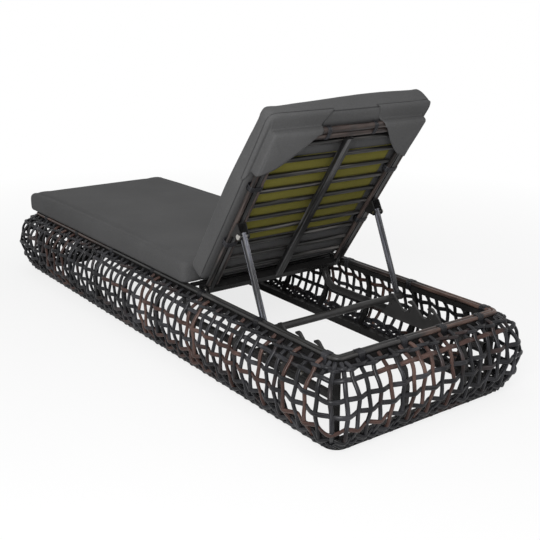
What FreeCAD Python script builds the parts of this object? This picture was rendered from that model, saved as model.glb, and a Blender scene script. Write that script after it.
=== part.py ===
import FreeCAD, Part
import math
import os
import Sketcher
from types import SimpleNamespace

# Woven relaxation lounger: a wicker base on an aluminium frame, a seat cushion, and a
# backrest that a swinging prop holds up in two toothed racks.
# X is the width, +Y runs from the foot to the head, +Z is up, the origin is on the floor.

V = FreeCAD.Vector
Placement = FreeCAD.Placement
Rotation = FreeCAD.Rotation

# Driving dimensions in millimetres, angles in degrees, counts as whole numbers
SIZES = (
    ("rim_half_width", "307"), ("rim_half_length", "975"), ("rim_top", "251"),
    ("rim_corner_radius", "30"), ("rim_tube_wide", "24"), ("rim_tube_tall", "16"),
    ("rim_tube_setback", "1"), ("tube_wall", "2"), ("rim_pole_diameter", "13"),
    ("bottom_overhang", "8"), ("bottom_rail_size", "25"), ("post_diameter", "22"),
    ("weave_depth", "52"), ("weave_foot_height", "16"), ("upright_wide", "9"),
    ("upright_thick", "8"), ("side_uprights", "52"), ("end_uprights", "16"),
    ("side_pitch", "=2 * (rim_half_length - rim_corner_radius) / (side_uprights - 1)"),
    ("end_pitch", "=2 * (rim_half_width - rim_corner_radius) / (end_uprights - 1)"),
    ("corner_facet", "30"), ("row_tall", "9"), ("row_thick", "8"), ("rib_wide", "14"),
    ("rib_thick", "12"), ("ribs_per_side", "8"), ("ribs_per_end", "2"), ("uprights_per_rib", "6"),
    ("lashing_long", "24"), ("lashing_thick", "1.8"), ("lashings_per_side", "7"),
    ("lashings_per_end", "4"), ("uprights_per_lashing", "8"), ("uprights_per_end_lashing", "4"),
    ("head_part_long", "672"), ("hinge_y", "=rim_half_length - head_part_long"),
    ("hinge_ear_radius", "9"),
    ("hinge_z", "=rim_top - hinge_ear_radius"), ("hinge_pin_diameter", "10"),
    ("hinge_ear_thick", "5"), ("hinge_ear_gap", "2"), ("hinge_ear_foot", "19.5"),
    ("hinge_pole_gap", "3"),
    ("hinge_beam_wide", "26"), ("hinge_beam_tall", "14"), ("hinge_beam_gap", "15"),
    ("pin_head_thick", "4"), ("pin_head_radius", "8"), ("running_gap", "0.05"),
    ("seat_rod_diameter", "14"), ("seat_rods", "22"), ("seat_rod_foot_gap", "40"),
    ("seat_rod_head_gap", "62"),
    ("seat_rod_start", "=rim_half_length - seat_rod_foot_gap"),
    ("seat_rod_pitch", "=(seat_rod_start + hinge_y - seat_rod_head_gap) / (seat_rods - 1)"),
    ("strut_wide", "26"), ("strut_tall", "14"),
    ("cushion_gap", "0.3"), ("seat_cushion_thick", "67"), ("seat_cushion_side_overhang", "7"),
    ("seat_cushion_half_width", "=rim_half_width + seat_cushion_side_overhang"),
    ("seat_cushion_foot_overhang", "29"), ("seat_cushion_head_gap", "51"),
    ("seat_cushion_foot", "=rim_half_length + seat_cushion_foot_overhang"),
    ("seat_cushion_head", "=hinge_y - seat_cushion_head_gap"), ("cushion_crown_inset", "48"),
    ("cushion_draw_in", "5"), ("cushion_corner_radius", "34"), ("cushion_edge", "15"),
    ("cloth_hinge_thick", "3.5"), ("cloth_hinge_long", "35"), ("cloth_hinge_inset", "27"),
    ("cloth_hinge_half_width", "=rim_half_width - cloth_hinge_inset"),
    ("recline_angle", "55.3"), ("back_side_gap", "7"), ("back_tube_wide", "14"),
    ("back_half_width", "=rim_half_width - 2 * rim_pole_diameter - back_side_gap"),
    ("back_tube_deep", "22"), ("back_pole_diameter", "14"), ("back_tail", "8"),
    ("back_end_gap", "7"), ("back_top", "=head_part_long - 2 * rim_pole_diameter - back_end_gap"),
    ("back_top_pole_diameter", "20"), ("back_rod_diameter", "14"), ("back_rods", "10"),
    ("back_rod_start", "76"), ("back_rod_top_gap", "18.1"),
    ("back_rod_pitch", "=(back_top - 2 * back_top_pole_diameter - back_rod_top_gap - back_rod_start)"
                       " / (back_rods - 1)"),
    ("back_pole_start", "30"), ("back_strut_start", "14"), ("back_cushion_start", "32"),
    ("back_cushion_top_overhang", "48"), ("back_cushion_side_inset", "11"),
    ("back_cushion_long", "=back_top + back_cushion_top_overhang - back_cushion_start"),
    ("back_cushion_half_width", "=rim_half_width - back_cushion_side_inset"),
    ("back_cushion_thick", "64"), ("panel_thick", "1.7"), ("panel_inset", "52"),
    ("panel_half_width", "=back_half_width - panel_inset"), ("panel_start", "197"),
    ("panel_top_gap", "110"), ("panel_long", "=back_top - panel_top_gap - panel_start"),
    ("pocket_skin", "3"), ("pocket_long", "147"), ("pocket_low", "=back_top - pocket_long"),
    ("pocket_wide", "174"), ("pocket_inner", "=back_half_width - pocket_wide"), ("pocket_gap", "0.3"),
    ("pocket_bow_out", "12"), ("pocket_bow_down", "9"),
    ("back_lashing_long", "20"), ("top_lashing_inset", "15"),
    ("prop_pin_along", "286"), ("prop_pin_drop", "42"),
    ("prop_pin_diameter", "8"), ("prop_leg_inset", "18"),
    ("prop_leg_place", "=back_half_width - prop_leg_inset"), ("prop_leg_diameter", "19"),
    ("flute_radius", "1.6"), ("flutes", "8"), ("prop_leg_long", "275"), ("prop_leg_angle", "-66.4"),
    ("bracket_ear_gap", "3.5"), ("bracket_ear_thick", "3"), ("bracket_base_thick", "4"),
    ("bracket_long", "48"), ("bracket_ear_radius", "10"), ("crossbar_diameter", "22"),
    ("crossbar_overhang", "10"), ("end_cap_thick", "3"), ("end_cap_radius", "12"),
    ("notch_gap", "0.3"), ("notch_pitch", "82"), ("rack_plate_inset", "53"),
    ("rack_plate_place", "=prop_leg_place + crossbar_overhang - rack_plate_inset"),
    ("rack_plate_thick", "7"), ("rack_slope", "55.6"), ("rack_web", "30"),
    ("rack_back_slope", "43"), ("notch_end_angle", "5"), ("rack_hole_radius", "4"),
    ("rack_hole_gap", "3"),
    ("rack_flange_thick", "5"), ("rack_rail_diameter", "24"), ("rack_rail_inset", "23"),
    ("rack_rail_place", "=rim_half_width - rack_rail_inset"), ("rack_rail_drop", "68.2"),
    ("rack_rail_foot_gap", "88"), ("rack_rail_foot", "=hinge_y - rack_rail_foot_gap"),
    ("bolt_diameter", "8"), ("bolt_head_radius", "7"), ("bolt_head_thick", "4"),
)

doc = FreeCAD.newDocument("WovenLounger")
sheet = doc.addObject("Spreadsheet::Sheet", "Sizes")
for row, (name, number) in enumerate(SIZES, start=1):
    sheet.set("A%d" % row, name)
    sheet.set("B%d" % row, number)
    sheet.setAlias("B%d" % row, name)
doc.recompute()
s = SimpleNamespace(**{name: float(getattr(sheet, name)) for name, number in SIZES})

ALIASES = {name for name, number in SIZES}
kept = []


def cells(text):
    """The expression with each alias written as a cell of the sheet."""
    words = text.replace("(", " ( ").replace(")", " ) ").split()
    return " ".join("Sizes." + word if word in ALIASES else word for word in words)


def bind(thing, **expressions):
    for prop, text in expressions.items():
        thing.setExpression(prop, cells(text))


def keep(thing, label):
    thing.Label = label
    kept.append(thing)
    return thing


def at(x=0.0, y=0.0, z=0.0, axis=V(0, 0, 1), angle=0.0):
    return Placement(V(x, y, z), Rotation(axis, angle))


ALONG_X = Rotation(V(0, 1, 0), 90)
ALONG_Y = Rotation(V(1, 0, 0), -90)
BACK = at(0, s.hinge_y, s.hinge_z, V(1, 0, 0), s.recline_angle)


def rod(name, diameter, length, start, turn=ALONG_X, frame=Placement()):
    """A round bar from start along the turned Z axis."""
    bar = doc.addObject("Part::Cylinder", name)
    bind(bar, Radius="(%s) / 2" % diameter, Height=length)
    bar.Placement = frame.multiply(Placement(start, turn))
    return bar


def group(label, members):
    joined = doc.addObject("Part::Compound", label)
    joined.Links = members
    return keep(joined, label)


def new_body(label, placement=Placement(), apart=False):
    body = doc.addObject("PartDesign::Body", label)
    body.AllowCompound = apart
    body.Placement = placement
    return body


def new_sketch(body, role, offset=0.0):
    """An empty sketch on one of the body's own origin planes."""
    sketch = body.newObject("Sketcher::SketchObject", body.Name + "_sketch")
    plane = next(f for f in body.Origin.OriginFeatures if f.Role == role)
    sketch.AttachmentSupport = [(plane, "")]
    sketch.MapMode = "FlatFace"
    sketch.AttachmentOffset = at(z=offset)
    return sketch


def draw_box(sketch, wide, tall):
    """A rectangle round the sketch's origin, its sides bound to the sheet."""
    first = sketch.GeometryCount
    corners = (V(-1, -1, 0), V(1, -1, 0), V(1, 1, 0), V(-1, 1, 0))
    for index in range(4):
        sketch.addGeometry(Part.LineSegment(corners[index], corners[(index + 1) % 4]), False)
    for index in range(4):
        follower = first + (index + 1) % 4
        sketch.addConstraint(Sketcher.Constraint("Coincident", first + index, 2, follower, 1))
        direction = "Horizontal" if index % 2 == 0 else "Vertical"
        sketch.addConstraint(Sketcher.Constraint(direction, first + index))
    sketch.addConstraint(Sketcher.Constraint("Symmetric", first, 1, first + 1, 2, -1, 1))
    across = sketch.addConstraint(Sketcher.Constraint("DistanceX", first, 1, first, 2, 2.0))
    sketch.setExpression("Constraints[%d]" % across, cells(wide))
    upward = sketch.addConstraint(Sketcher.Constraint("DistanceY", first + 1, 1, first + 1, 2, 2.0))
    sketch.setExpression("Constraints[%d]" % upward, cells(tall))


def draw_circle(sketch, centre, diameter):
    ring = sketch.addGeometry(Part.Circle(V(*centre, 0), V(0, 0, 1), 1.0), False)
    sketch.addConstraint(Sketcher.Constraint("DistanceX", -1, 1, ring, 3, centre[0]))
    sketch.addConstraint(Sketcher.Constraint("DistanceY", -1, 1, ring, 3, centre[1]))
    size = sketch.addConstraint(Sketcher.Constraint("Diameter", ring, 2.0))
    sketch.setExpression("Constraints[%d]" % size, cells(diameter))


def draw_outline(sketch, steps):
    """A closed outline: each step is a point, or (through, point) for an arc."""
    pen = V(*steps[0], 0)
    for step in steps[1:] + steps[:1]:
        if isinstance(step[0], tuple):
            through, end = V(*step[0], 0), V(*step[1], 0)
            sketch.addGeometry(Part.Arc(pen, through, end), False)
        else:
            end = V(*step, 0)
            sketch.addGeometry(Part.LineSegment(pen, end), False)
        pen = end


def pad(body, sketch, length, middle=False, backwards=False):
    feature = body.newObject("PartDesign::Pad", body.Name + "_pad")
    feature.Profile = sketch
    bind(feature, Length=length)
    feature.Midplane = middle
    feature.Reversed = backwards
    body.Tip = feature
    return feature


def pocket_through(body, sketch):
    feature = body.newObject("PartDesign::Pocket", body.Name + "_pocket")
    feature.Profile = sketch
    feature.Type = "ThroughAll"
    feature.SideType = "Symmetric"
    body.Tip = feature
    return feature


def box_tube(label, wide, tall, length, placement):
    """A rectangular tube, padded both ways from its middle along its local Z."""
    body = new_body(label, placement)
    sketch = new_sketch(body, "XY_Plane")
    draw_box(sketch, wide, tall)
    draw_box(sketch, wide + " - 2 * tube_wall", tall + " - 2 * tube_wall")
    pad(body, sketch, length, middle=True)
    return body


def round_corners(label, inner, outer, low, tall):
    """Four quarter bends of flat stock round the corner centres of the plan."""
    bends = []
    for index, (side, end) in enumerate(((1, 1), (-1, 1), (-1, -1), (1, -1))):
        centre = V(side * corner_x, end * corner_y, low)
        body = new_body("%s_%d" % (label, index), Placement(centre, Rotation(V(0, 0, 1), 90 * index)))
        sketch = new_sketch(body, "XZ_Plane")
        draw_outline(sketch, ((inner, 0), (outer, 0), (outer, tall), (inner, tall)))
        bend = body.newObject("PartDesign::Revolution", body.Name + "_bend")
        bend.Profile = sketch
        bend.ReferenceAxis = (sketch, ["V_Axis"])
        bend.Angle = 90
        body.Tip = bend
        bends.append(body)
    return group(label, bends)


corner_x = s.rim_half_width - s.rim_corner_radius
corner_y = s.rim_half_length - s.rim_corner_radius

# Places that follow from the sizes
tube_low = s.rim_top - s.rim_pole_diameter - s.rim_tube_tall
tube_high = tube_low + s.rim_tube_tall
tube_outer = s.rim_half_width - s.rim_tube_setback
tube_inner = tube_outer - s.rim_tube_wide
tube_mid = (tube_low + tube_high) / 2
pole_height = s.rim_top - s.rim_pole_diameter / 2
pole_outer_place = s.rim_half_width - s.rim_pole_diameter / 2
pole_inner_place = pole_outer_place - s.rim_pole_diameter
rim_opening = pole_inner_place - s.rim_pole_diameter / 2
end_shift = s.rim_half_length - s.rim_half_width
rail_outer = s.rim_half_width + s.bottom_overhang
rail_middle = rail_outer - s.bottom_rail_size / 2
RIM_STRAIGHT = "2 * ( rim_half_length - rim_corner_radius )"
RIM_ACROSS = "2 * ( rim_half_width - rim_corner_radius )"


def both_sides(maker):
    for label, side in (("left", 1), ("right", -1)):
        maker(label, side)


def both_ends(maker):
    for label, end in (("head", 1), ("foot", -1)):
        maker(label, end)


# Rim: a rectangular tube all round, with two wound poles lying on it
def rim_side(label, side):
    middle = side * (tube_outer + tube_inner) / 2
    placement = Placement(V(middle, 0, tube_mid), Rotation(V(1, 0, 0), 90))
    keep(box_tube("rim_" + label, "rim_tube_wide", "rim_tube_tall", RIM_STRAIGHT, placement),
         "rim_" + label)
    poles = [rod("pole_%s_%d" % (label, index), "rim_pole_diameter", RIM_STRAIGHT,
                 V(side * place, -corner_y, pole_height), ALONG_Y)
             for index, place in enumerate((pole_outer_place, pole_inner_place))]
    group("rim_poles_" + label, poles)


def rim_end(label, end):
    middle = end * ((tube_outer + tube_inner) / 2 + end_shift)
    turn = Rotation(V(0, 0, 1), 90).multiply(Rotation(V(1, 0, 0), 90))
    placement = Placement(V(0, middle, tube_mid), turn)
    keep(box_tube("rim_" + label, "rim_tube_wide", "rim_tube_tall", RIM_ACROSS, placement),
         "rim_" + label)
    poles = []
    for index, place in enumerate((pole_outer_place, pole_inner_place)):
        radius = place - corner_x
        poles.append(bent_pole("end_pole_%s_%d" % (label, index), radius, end))
    if end > 0:
        poles.append(hinge_pole())
    group("rim_poles_" + label, poles)


def hinge_pole():
    """The wound pole that lies on the hinge beam, at the end of the seat."""
    half = s.back_half_width - s.back_pole_diameter - s.hinge_pole_gap
    front = s.hinge_y - s.hinge_beam_gap - s.hinge_beam_wide
    low = s.rim_top - s.seat_rod_diameter
    return rod("hinge_pole", "rim_pole_diameter",
               "2 * ( back_half_width - back_pole_diameter - hinge_pole_gap )",
               V(-half, front + s.rim_pole_diameter / 2, low + s.rim_pole_diameter / 2))


def bent_pole(name, radius, end):
    """A pole across one end of the rim that bends back round both corners."""
    turn = Rotation(V(0, 0, 1), 0 if end > 0 else 180)
    body = new_body(name, Placement(V(0, 0, pole_height), turn))
    path = new_sketch(body, "XY_Plane")
    slant = radius * math.sin(math.radians(45))
    path.addGeometry(Part.Arc(V(corner_x + radius, corner_y, 0),
                              V(corner_x + slant, corner_y + slant, 0),
                              V(corner_x, corner_y + radius, 0)), False)
    path.addGeometry(Part.LineSegment(V(corner_x, corner_y + radius, 0),
                                      V(-corner_x, corner_y + radius, 0)), False)
    path.addGeometry(Part.Arc(V(-corner_x, corner_y + radius, 0),
                              V(-corner_x - slant, corner_y + slant, 0),
                              V(-corner_x - radius, corner_y, 0)), False)
    section = new_sketch(body, "XZ_Plane", offset=-corner_y)
    draw_circle(section, (corner_x + radius, 0), "rim_pole_diameter")
    pipe = body.newObject("PartDesign::AdditivePipe", name + "_pipe")
    pipe.Profile = section
    pipe.Spine = path
    body.Tip = pipe
    return body


both_sides(rim_side)
both_ends(rim_end)
round_corners("rim_corners", tube_inner - corner_x, tube_outer - corner_x, tube_low, s.rim_tube_tall)


# Bottom rails that stand on the floor
def bottom_side(label, side):
    placement = Placement(V(side * rail_middle, 0, s.bottom_rail_size / 2), Rotation(V(1, 0, 0), 90))
    keep(box_tube("bottom_rail_" + label, "bottom_rail_size", "bottom_rail_size", RIM_STRAIGHT,
                  placement), "bottom_rail_" + label)


def bottom_end(label, end):
    turn = Rotation(V(0, 0, 1), 90).multiply(Rotation(V(1, 0, 0), 90))
    placement = Placement(V(0, end * (rail_middle + end_shift), s.bottom_rail_size / 2), turn)
    keep(box_tube("bottom_rail_" + label, "bottom_rail_size", "bottom_rail_size", RIM_ACROSS,
                  placement), "bottom_rail_" + label)


both_sides(bottom_side)
both_ends(bottom_end)
rail_inner_radius = rail_outer - s.bottom_rail_size - corner_x
round_corners("bottom_corners", rail_inner_radius, rail_outer - corner_x, 0.0, s.bottom_rail_size)


# Weave: bowed uprights from rim to bottom rail, with weaver rows lying on their flats.
# A point of the weave's path is (out, up): out from the rim's face, and up from the floor.
path_shares = ((0.154, 0.986), (0.81, 0.803), (1.0, 0.6), (0.98, 0.394), (0.69, 0.178))
row_shares = ((1, 0.12), (1, 0.52), (2, 0.5), (3, 0.5), (4, 0.5), (5, 0.42), (5, 0.8))
weave_rise = tube_mid - s.weave_foot_height
WEAVE_PATH = ([(-s.rim_tube_setback, tube_mid)]
              + [(s.weave_depth * out, s.weave_foot_height + weave_rise * up)
                 for out, up in path_shares]
              + [(s.bottom_overhang, s.weave_foot_height)])


def offset_path(outward):
    """The weave's path moved outward, mitred at its bends and cut upright at its ends."""
    normals = []
    for (out_a, up_a), (out_b, up_b) in zip(WEAVE_PATH, WEAVE_PATH[1:]):
        length = math.hypot(out_b - out_a, up_b - up_a)
        normals.append(((up_a - up_b) / length, (out_b - out_a) / length))
    moved = []
    for index, (out, up) in enumerate(WEAVE_PATH):
        if index in (0, len(WEAVE_PATH) - 1):
            moved.append((out, up + outward / normals[min(index, len(normals) - 1)][1]))
            continue
        before, after = normals[index - 1], normals[index]
        share = outward / (1 + before[0] * after[0] + before[1] * after[1])
        moved.append((out + share * (before[0] + after[0]), up + share * (before[1] + after[1])))
    return moved


weave_face = s.upright_thick / 2


def strip_body(label, placement, shift, wide, thick):
    """A bowed strip, its outer face on the weave's face, padded both ways from its plane."""
    body = new_body(label, placement, apart=True)
    sketch = new_sketch(body, "XZ_Plane")
    outline = offset_path(weave_face) + offset_path(weave_face - thick)[::-1]
    draw_outline(sketch, [(shift + out, up) for out, up in outline])
    pad(body, sketch, wide, middle=True)
    return body


def repeat_along(body, step, count):
    pattern = body.newObject("PartDesign::LinearPattern", body.Name + "_pattern")
    pattern.Originals = [body.Tip]
    axis = next(f for f in body.Origin.OriginFeatures if f.Role == "Y_Axis")
    pattern.Direction = (axis, [""])
    bind(pattern, Length="%s * ( %s - 1 )" % (step, count), Occurrences=count)
    body.Tip = pattern
    return body


def weave_side(label, turn, reach, count, cell, pitch):
    """The uprights of one side, whose plan normal is +X turned by the angle."""
    start = -getattr(s, pitch) * (count - 1) / 2
    frame = at(axis=V(0, 0, 1), angle=turn).multiply(at(reach, start, 0))
    body = strip_body(label + "_uprights", frame, 0.0, "upright_wide", s.upright_thick)
    keep(repeat_along(body, pitch, cell), label + "_uprights")


LONG = (s.rim_half_width, s.side_uprights, "side_uprights", "side_pitch")
SHORT = (s.rim_half_length, s.end_uprights, "end_uprights", "end_pitch")
SIDES = (("left", 0, *LONG), ("head", 90, *SHORT), ("right", 180, *LONG), ("foot", 270, *SHORT))
for side in SIDES:
    weave_side(*side)

# Two uprights fan round each corner, one on each of its facets
FACET = s.corner_facet
CORNERS = ((corner_x, corner_y), (-corner_x, corner_y), (-corner_x, -corner_y), (corner_x, -corner_y))
fans = []
for index, (x, y) in enumerate(CORNERS):
    for facet in (1, 2):
        placement = at(x, y, 0, V(0, 0, 1), 90 * index + FACET * facet)
        fans.append(strip_body("corner_upright_%d_%d" % (index, facet), placement,
                               s.rim_corner_radius, "upright_wide", s.upright_thick))
group("corner_uprights", fans)


def ribs(label, turn, first_gap, number, side):
    """Stouter bowed tubes between the uprights, from rim to bottom rail."""
    reach, count, _, pitch = side
    start = getattr(s, pitch) * (first_gap + 0.5 - (count - 1) / 2)
    frame = at(axis=V(0, 0, 1), angle=turn).multiply(at(reach, start, 0))
    body = strip_body(label, frame, 0.0, "rib_wide", s.rib_thick)
    return repeat_along(body, pitch + " * uprights_per_rib", number)


keep(ribs("ribs_left", 0, 5, "ribs_per_side", LONG), "ribs_left")
keep(ribs("ribs_right", 180, 3, "ribs_per_side", LONG), "ribs_right")
group("ribs_ends", [ribs("ribs_head", 90, 4, "ribs_per_end", SHORT),
                    ribs("ribs_foot", 270, 4, "ribs_per_end", SHORT)])


def row_section(facet, along):
    """The four (out, up) corners of a weaver row lying on a flat of the uprights."""
    face = offset_path(weave_face)
    (out_a, up_a), (out_b, up_b) = WEAVE_PATH[facet], WEAVE_PATH[facet + 1]
    length = math.hypot(out_b - out_a, up_b - up_a)
    run = ((out_b - out_a) / length, (up_b - up_a) / length)
    normal = (-run[1], run[0])
    centre = (out_a + along * (out_b - out_a) + normal[0] * weave_face,
              up_a + along * (up_b - up_a) + normal[1] * weave_face)
    corners = []
    for across, outward in ((-1, 0), (1, 0), (1, 1), (-1, 1)):
        slide = across * s.row_tall / 2
        lift = outward * s.row_thick
        corners.append((centre[0] + slide * run[0] + lift * normal[0],
                        centre[1] + slide * run[1] + lift * normal[1]))
    return corners


def mitre_section(section, corner, angle):
    """The section set on a mitre plane of the corner, at an angle of the plan."""
    x, y = CORNERS[corner]
    stretch = 1 / math.cos(math.radians(FACET / 2))
    points = []
    for out, up in section:
        radius = (s.rim_corner_radius + out) * stretch
        points.append(V(x + radius * math.cos(math.radians(angle)),
                        y + radius * math.sin(math.radians(angle)), up))
    return points


def bar_between(section_a, section_b):
    """A solid bar with flat faces between two sections of as many points."""
    faces = [Part.Face(Part.makePolygon(section + section[:1])) for section in (section_a, section_b)]
    count = len(section_a)
    for index in range(count):
        after = (index + 1) % count
        quad = (section_a[index], section_a[after], section_b[after], section_b[index], section_a[index])
        faces.append(Part.Face(Part.makePolygon(quad)))
    solid = Part.makeSolid(Part.makeShell(faces))
    if solid.Volume < 0:
        solid.reverse()
    return solid


def feature(label, solids):
    thing = doc.addObject("Part::Feature", label)
    thing.Shape = Part.makeCompound(solids) if len(solids) > 1 else solids[0]
    return keep(thing, label)


sections = [row_section(facet, along) for facet, along in row_shares]
for index, side in enumerate(SIDES):
    label, turn = side[:2]
    before = (index + 3) % 4
    feature(label + "_rows", [bar_between(mitre_section(section, before, turn - FACET / 2),
                                          mitre_section(section, index, turn + FACET / 2))
                              for section in sections])
turns = []
for corner in range(4):
    for facet in (1, 2):
        middle = 90 * corner + FACET * facet
        turns += [bar_between(mitre_section(section, corner, middle - FACET / 2),
                              mitre_section(section, corner, middle + FACET / 2))
                  for section in sections]
feature("corner_rows", turns)

# Lashings bind the tube and its two poles together in the gaps between uprights
def lashings(name, turn, first_gap, number, step, side):
    reach, count, _, pitch = side
    place = reach - s.rim_pole_diameter
    start = getattr(s, pitch) * (first_gap + 0.5 - (count - 1) / 2)
    height = (tube_low + s.rim_top) / 2
    frame = at(axis=V(0, 0, 1), angle=turn).multiply(at(place, start, height))
    body = new_body(name, frame, apart=True)
    sketch = new_sketch(body, "XZ_Plane")
    wide, tall = "2 * rim_pole_diameter", "rim_pole_diameter + rim_tube_tall"
    draw_box(sketch, wide, tall)
    draw_box(sketch, wide + " + 2 * lashing_thick", tall + " + 2 * lashing_thick")
    pad(body, sketch, "lashing_long", middle=True)
    return repeat_along(body, "%s * %s" % (pitch, step), number)


group("rim_lashings", [
    lashings("lashings_left", 0, 2, "lashings_per_side", "uprights_per_lashing", LONG),
    lashings("lashings_right", 180, 0, "lashings_per_side", "uprights_per_lashing", LONG),
    lashings("lashings_head", 90, 1, "lashings_per_end", "uprights_per_end_lashing", SHORT),
    lashings("lashings_foot", 270, 1, "lashings_per_end", "uprights_per_end_lashing", SHORT)])

# Corner posts stand on the bottom rails and carry the rim
post_reach = (tube_inner + tube_outer) / 2 - corner_x
post_shift = post_reach * math.sin(math.radians(45))
posts = []
for index, (x, y) in enumerate(CORNERS):
    foot = V(x + math.copysign(post_shift, x), y + math.copysign(post_shift, y), s.bottom_rail_size)
    length = "rim_top - rim_pole_diameter - rim_tube_tall - bottom_rail_size"
    posts.append(rod("post_%d" % index, "post_diameter", length, foot, Rotation()))
group("corner_posts", posts)

# Seat: a hinge beam, a strut down the middle, and rods that carry the cushion
beam_back = s.hinge_y - s.hinge_beam_gap
beam_front = beam_back - s.hinge_beam_wide
rod_low = s.rim_top - s.seat_rod_diameter
beam_height = rod_low - s.hinge_beam_tall / 2
across = Rotation(V(0, 1, 0), 90).multiply(Rotation(V(0, 0, 1), 90))
BETWEEN_TUBES = "2 * ( rim_half_width - rim_tube_setback - rim_tube_wide )"
keep(box_tube("hinge_beam", "hinge_beam_wide", "hinge_beam_tall", BETWEEN_TUBES,
              Placement(V(0, (beam_back + beam_front) / 2, beam_height), across)), "hinge_beam")
strut_foot = -(tube_inner + end_shift)
strut = doc.addObject("Part::Box", "seat_strut")
bind(strut, Length="strut_wide", Height="strut_tall",
     Width="rim_half_length - rim_tube_setback - rim_tube_wide + hinge_y - hinge_beam_gap"
           " - hinge_beam_wide")
strut.Placement = at(-s.strut_wide / 2, strut_foot, rod_low - s.strut_tall)
keep(strut, "seat_strut")
slat_half = rim_opening - s.lashing_thick - s.cushion_gap
slats = new_body("seat_slats", at(-slat_half, -s.seat_rod_start, rod_low + s.seat_rod_diameter / 2),
                 apart=True)
slat_section = new_sketch(slats, "YZ_Plane")
draw_circle(slat_section, (0, 0), "seat_rod_diameter")
pad(slats, slat_section, "2 * ( rim_half_width - 2 * rim_pole_diameter - lashing_thick - cushion_gap )")
keep(repeat_along(slats, "seat_rod_pitch", "seat_rods"), "seat_slats")

# Hinge ears on the beam, and the pins that the back frame turns on
back_tube_outer = s.back_half_width - s.back_pole_diameter
back_tube_inner = back_tube_outer - s.back_tube_wide
ear_place = back_tube_outer + s.hinge_ear_gap
ears = []
pins = []


def stepped_pin(name, shank, shank_long, head, head_long, start, turn, frame=Placement()):
    """A headed pin: the shank from start, the head at its far end."""
    body = rod(name + "_shank", shank, shank_long, start, turn, frame)
    body.recompute()
    far = start + turn.multVec(V(0, 0, body.Height.Value))
    cap = rod(name + "_head", "2 * " + head, head_long, far, turn, frame)
    pin = doc.addObject("Part::Fuse", name)
    pin.Base, pin.Tool = body, cap
    return pin


for label, side in (("left", 1), ("right", -1)):
    low_x = ear_place if side > 0 else -ear_place - s.hinge_ear_thick
    ear = new_body("ear_" + label, at(low_x, s.hinge_y, s.hinge_z))
    sketch = new_sketch(ear, "YZ_Plane")
    top = s.hinge_ear_radius
    beam_top = rod_low - s.hinge_z
    heel = -s.hinge_beam_gap
    toe = heel - s.hinge_ear_foot
    draw_outline(sketch, ((toe, beam_top), (toe, top), (0, top), ((top, 0), (0, -top)),
                          (heel, -top), (heel, beam_top)))
    draw_circle(sketch, (0, 0), "hinge_pin_diameter")
    pad(ear, sketch, "hinge_ear_thick")
    ears.append(ear)
    reach = V(side * (back_tube_inner + s.cushion_gap), s.hinge_y, s.hinge_z)
    pins.append(stepped_pin("hinge_pin_" + label, "hinge_pin_diameter",
                            "back_tube_wide + hinge_ear_gap + hinge_ear_thick - cushion_gap",
                            "pin_head_radius", "pin_head_thick", reach,
                            Rotation(V(0, 1, 0), 90 * side)))
group("hinge_brackets", ears)
group("hinge_pins", pins)


# The crossbar's centre at rest places the racks and their rails
leg_turn = math.radians(s.prop_leg_angle)
pin_place = BACK.multVec(V(0, s.prop_pin_along, -s.prop_pin_drop))
bar_y = pin_place.y + s.prop_leg_long * math.cos(leg_turn)
bar_z = pin_place.z + s.prop_leg_long * math.sin(leg_turn)
rail_height = bar_z - s.rack_rail_drop
rail_bend_share = 0.674


# Rack rails: a tube that runs to the head post and bends up to the rim at its foot
def rack_rail(label, side):
    body = new_body("rack_rail_" + label, at(side * s.rack_rail_place, 0, 0))
    path = new_sketch(body, "YZ_Plane")
    head = corner_y + post_shift - s.post_diameter / 2
    foot, bend = s.rack_rail_foot, rail_bend_share * (tube_low - rail_height)
    slant = bend * (1 - math.sin(math.radians(45)))
    path.addGeometry(Part.LineSegment(V(head, rail_height, 0), V(foot + bend, rail_height, 0)), False)
    path.addGeometry(Part.Arc(V(foot + bend, rail_height, 0), V(foot + slant, rail_height + slant, 0),
                              V(foot, rail_height + bend, 0)), False)
    path.addGeometry(Part.LineSegment(V(foot, rail_height + bend, 0), V(foot, tube_low, 0)), False)
    section = new_sketch(body, "XZ_Plane", offset=-head)
    draw_circle(section, (0, rail_height), "rack_rail_diameter")
    draw_circle(section, (0, rail_height), "rack_rail_diameter - 2 * tube_wall")
    pipe = body.newObject("PartDesign::AdditivePipe", body.Name + "_pipe")
    pipe.Profile = section
    pipe.Spine = path
    body.Tip = pipe
    keep(body, "rack_rail_" + label)


both_sides(rack_rail)

# Racks: each tooth has a notch round the crossbar, a short slot behind it and a beaked top.
# The tooth's points are shares of the notch's radius, (along, up) from the crossbar's centre.
slot_shares = ((2.35, 0.13), (2.65, 0.4), (2.35, 0.67))
beak_shares = ((0.78, 0.95), (0.42, 1.2), (0.72, 1.56), (1.5, 1.86), (2.48, 1.49))
rail_top = rail_height + s.rack_rail_diameter / 2
rack_foot = rail_top + s.rack_flange_thick
rack_base = rack_foot + s.rack_web
notch = s.crossbar_diameter / 2 + s.notch_gap
slope = math.radians(s.rack_slope)
fall = math.tan(math.radians(s.rack_back_slope))
rack_hole_share = 0.2
bolt_share = 0.4


def in_tooth(tooth, share):
    return (bar_y + tooth * s.notch_pitch + notch * share[0], bar_z + notch * share[1])


def round_bar(tooth, degrees):
    """A point of the notch round the crossbar."""
    turn = math.radians(degrees)
    return in_tooth(tooth, (math.cos(turn), math.sin(turn)))


def down_the_face(tooth, height):
    touch = round_bar(tooth, s.rack_slope - 90)
    return (touch[0] - (touch[1] - height) / math.tan(slope), height)


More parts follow.
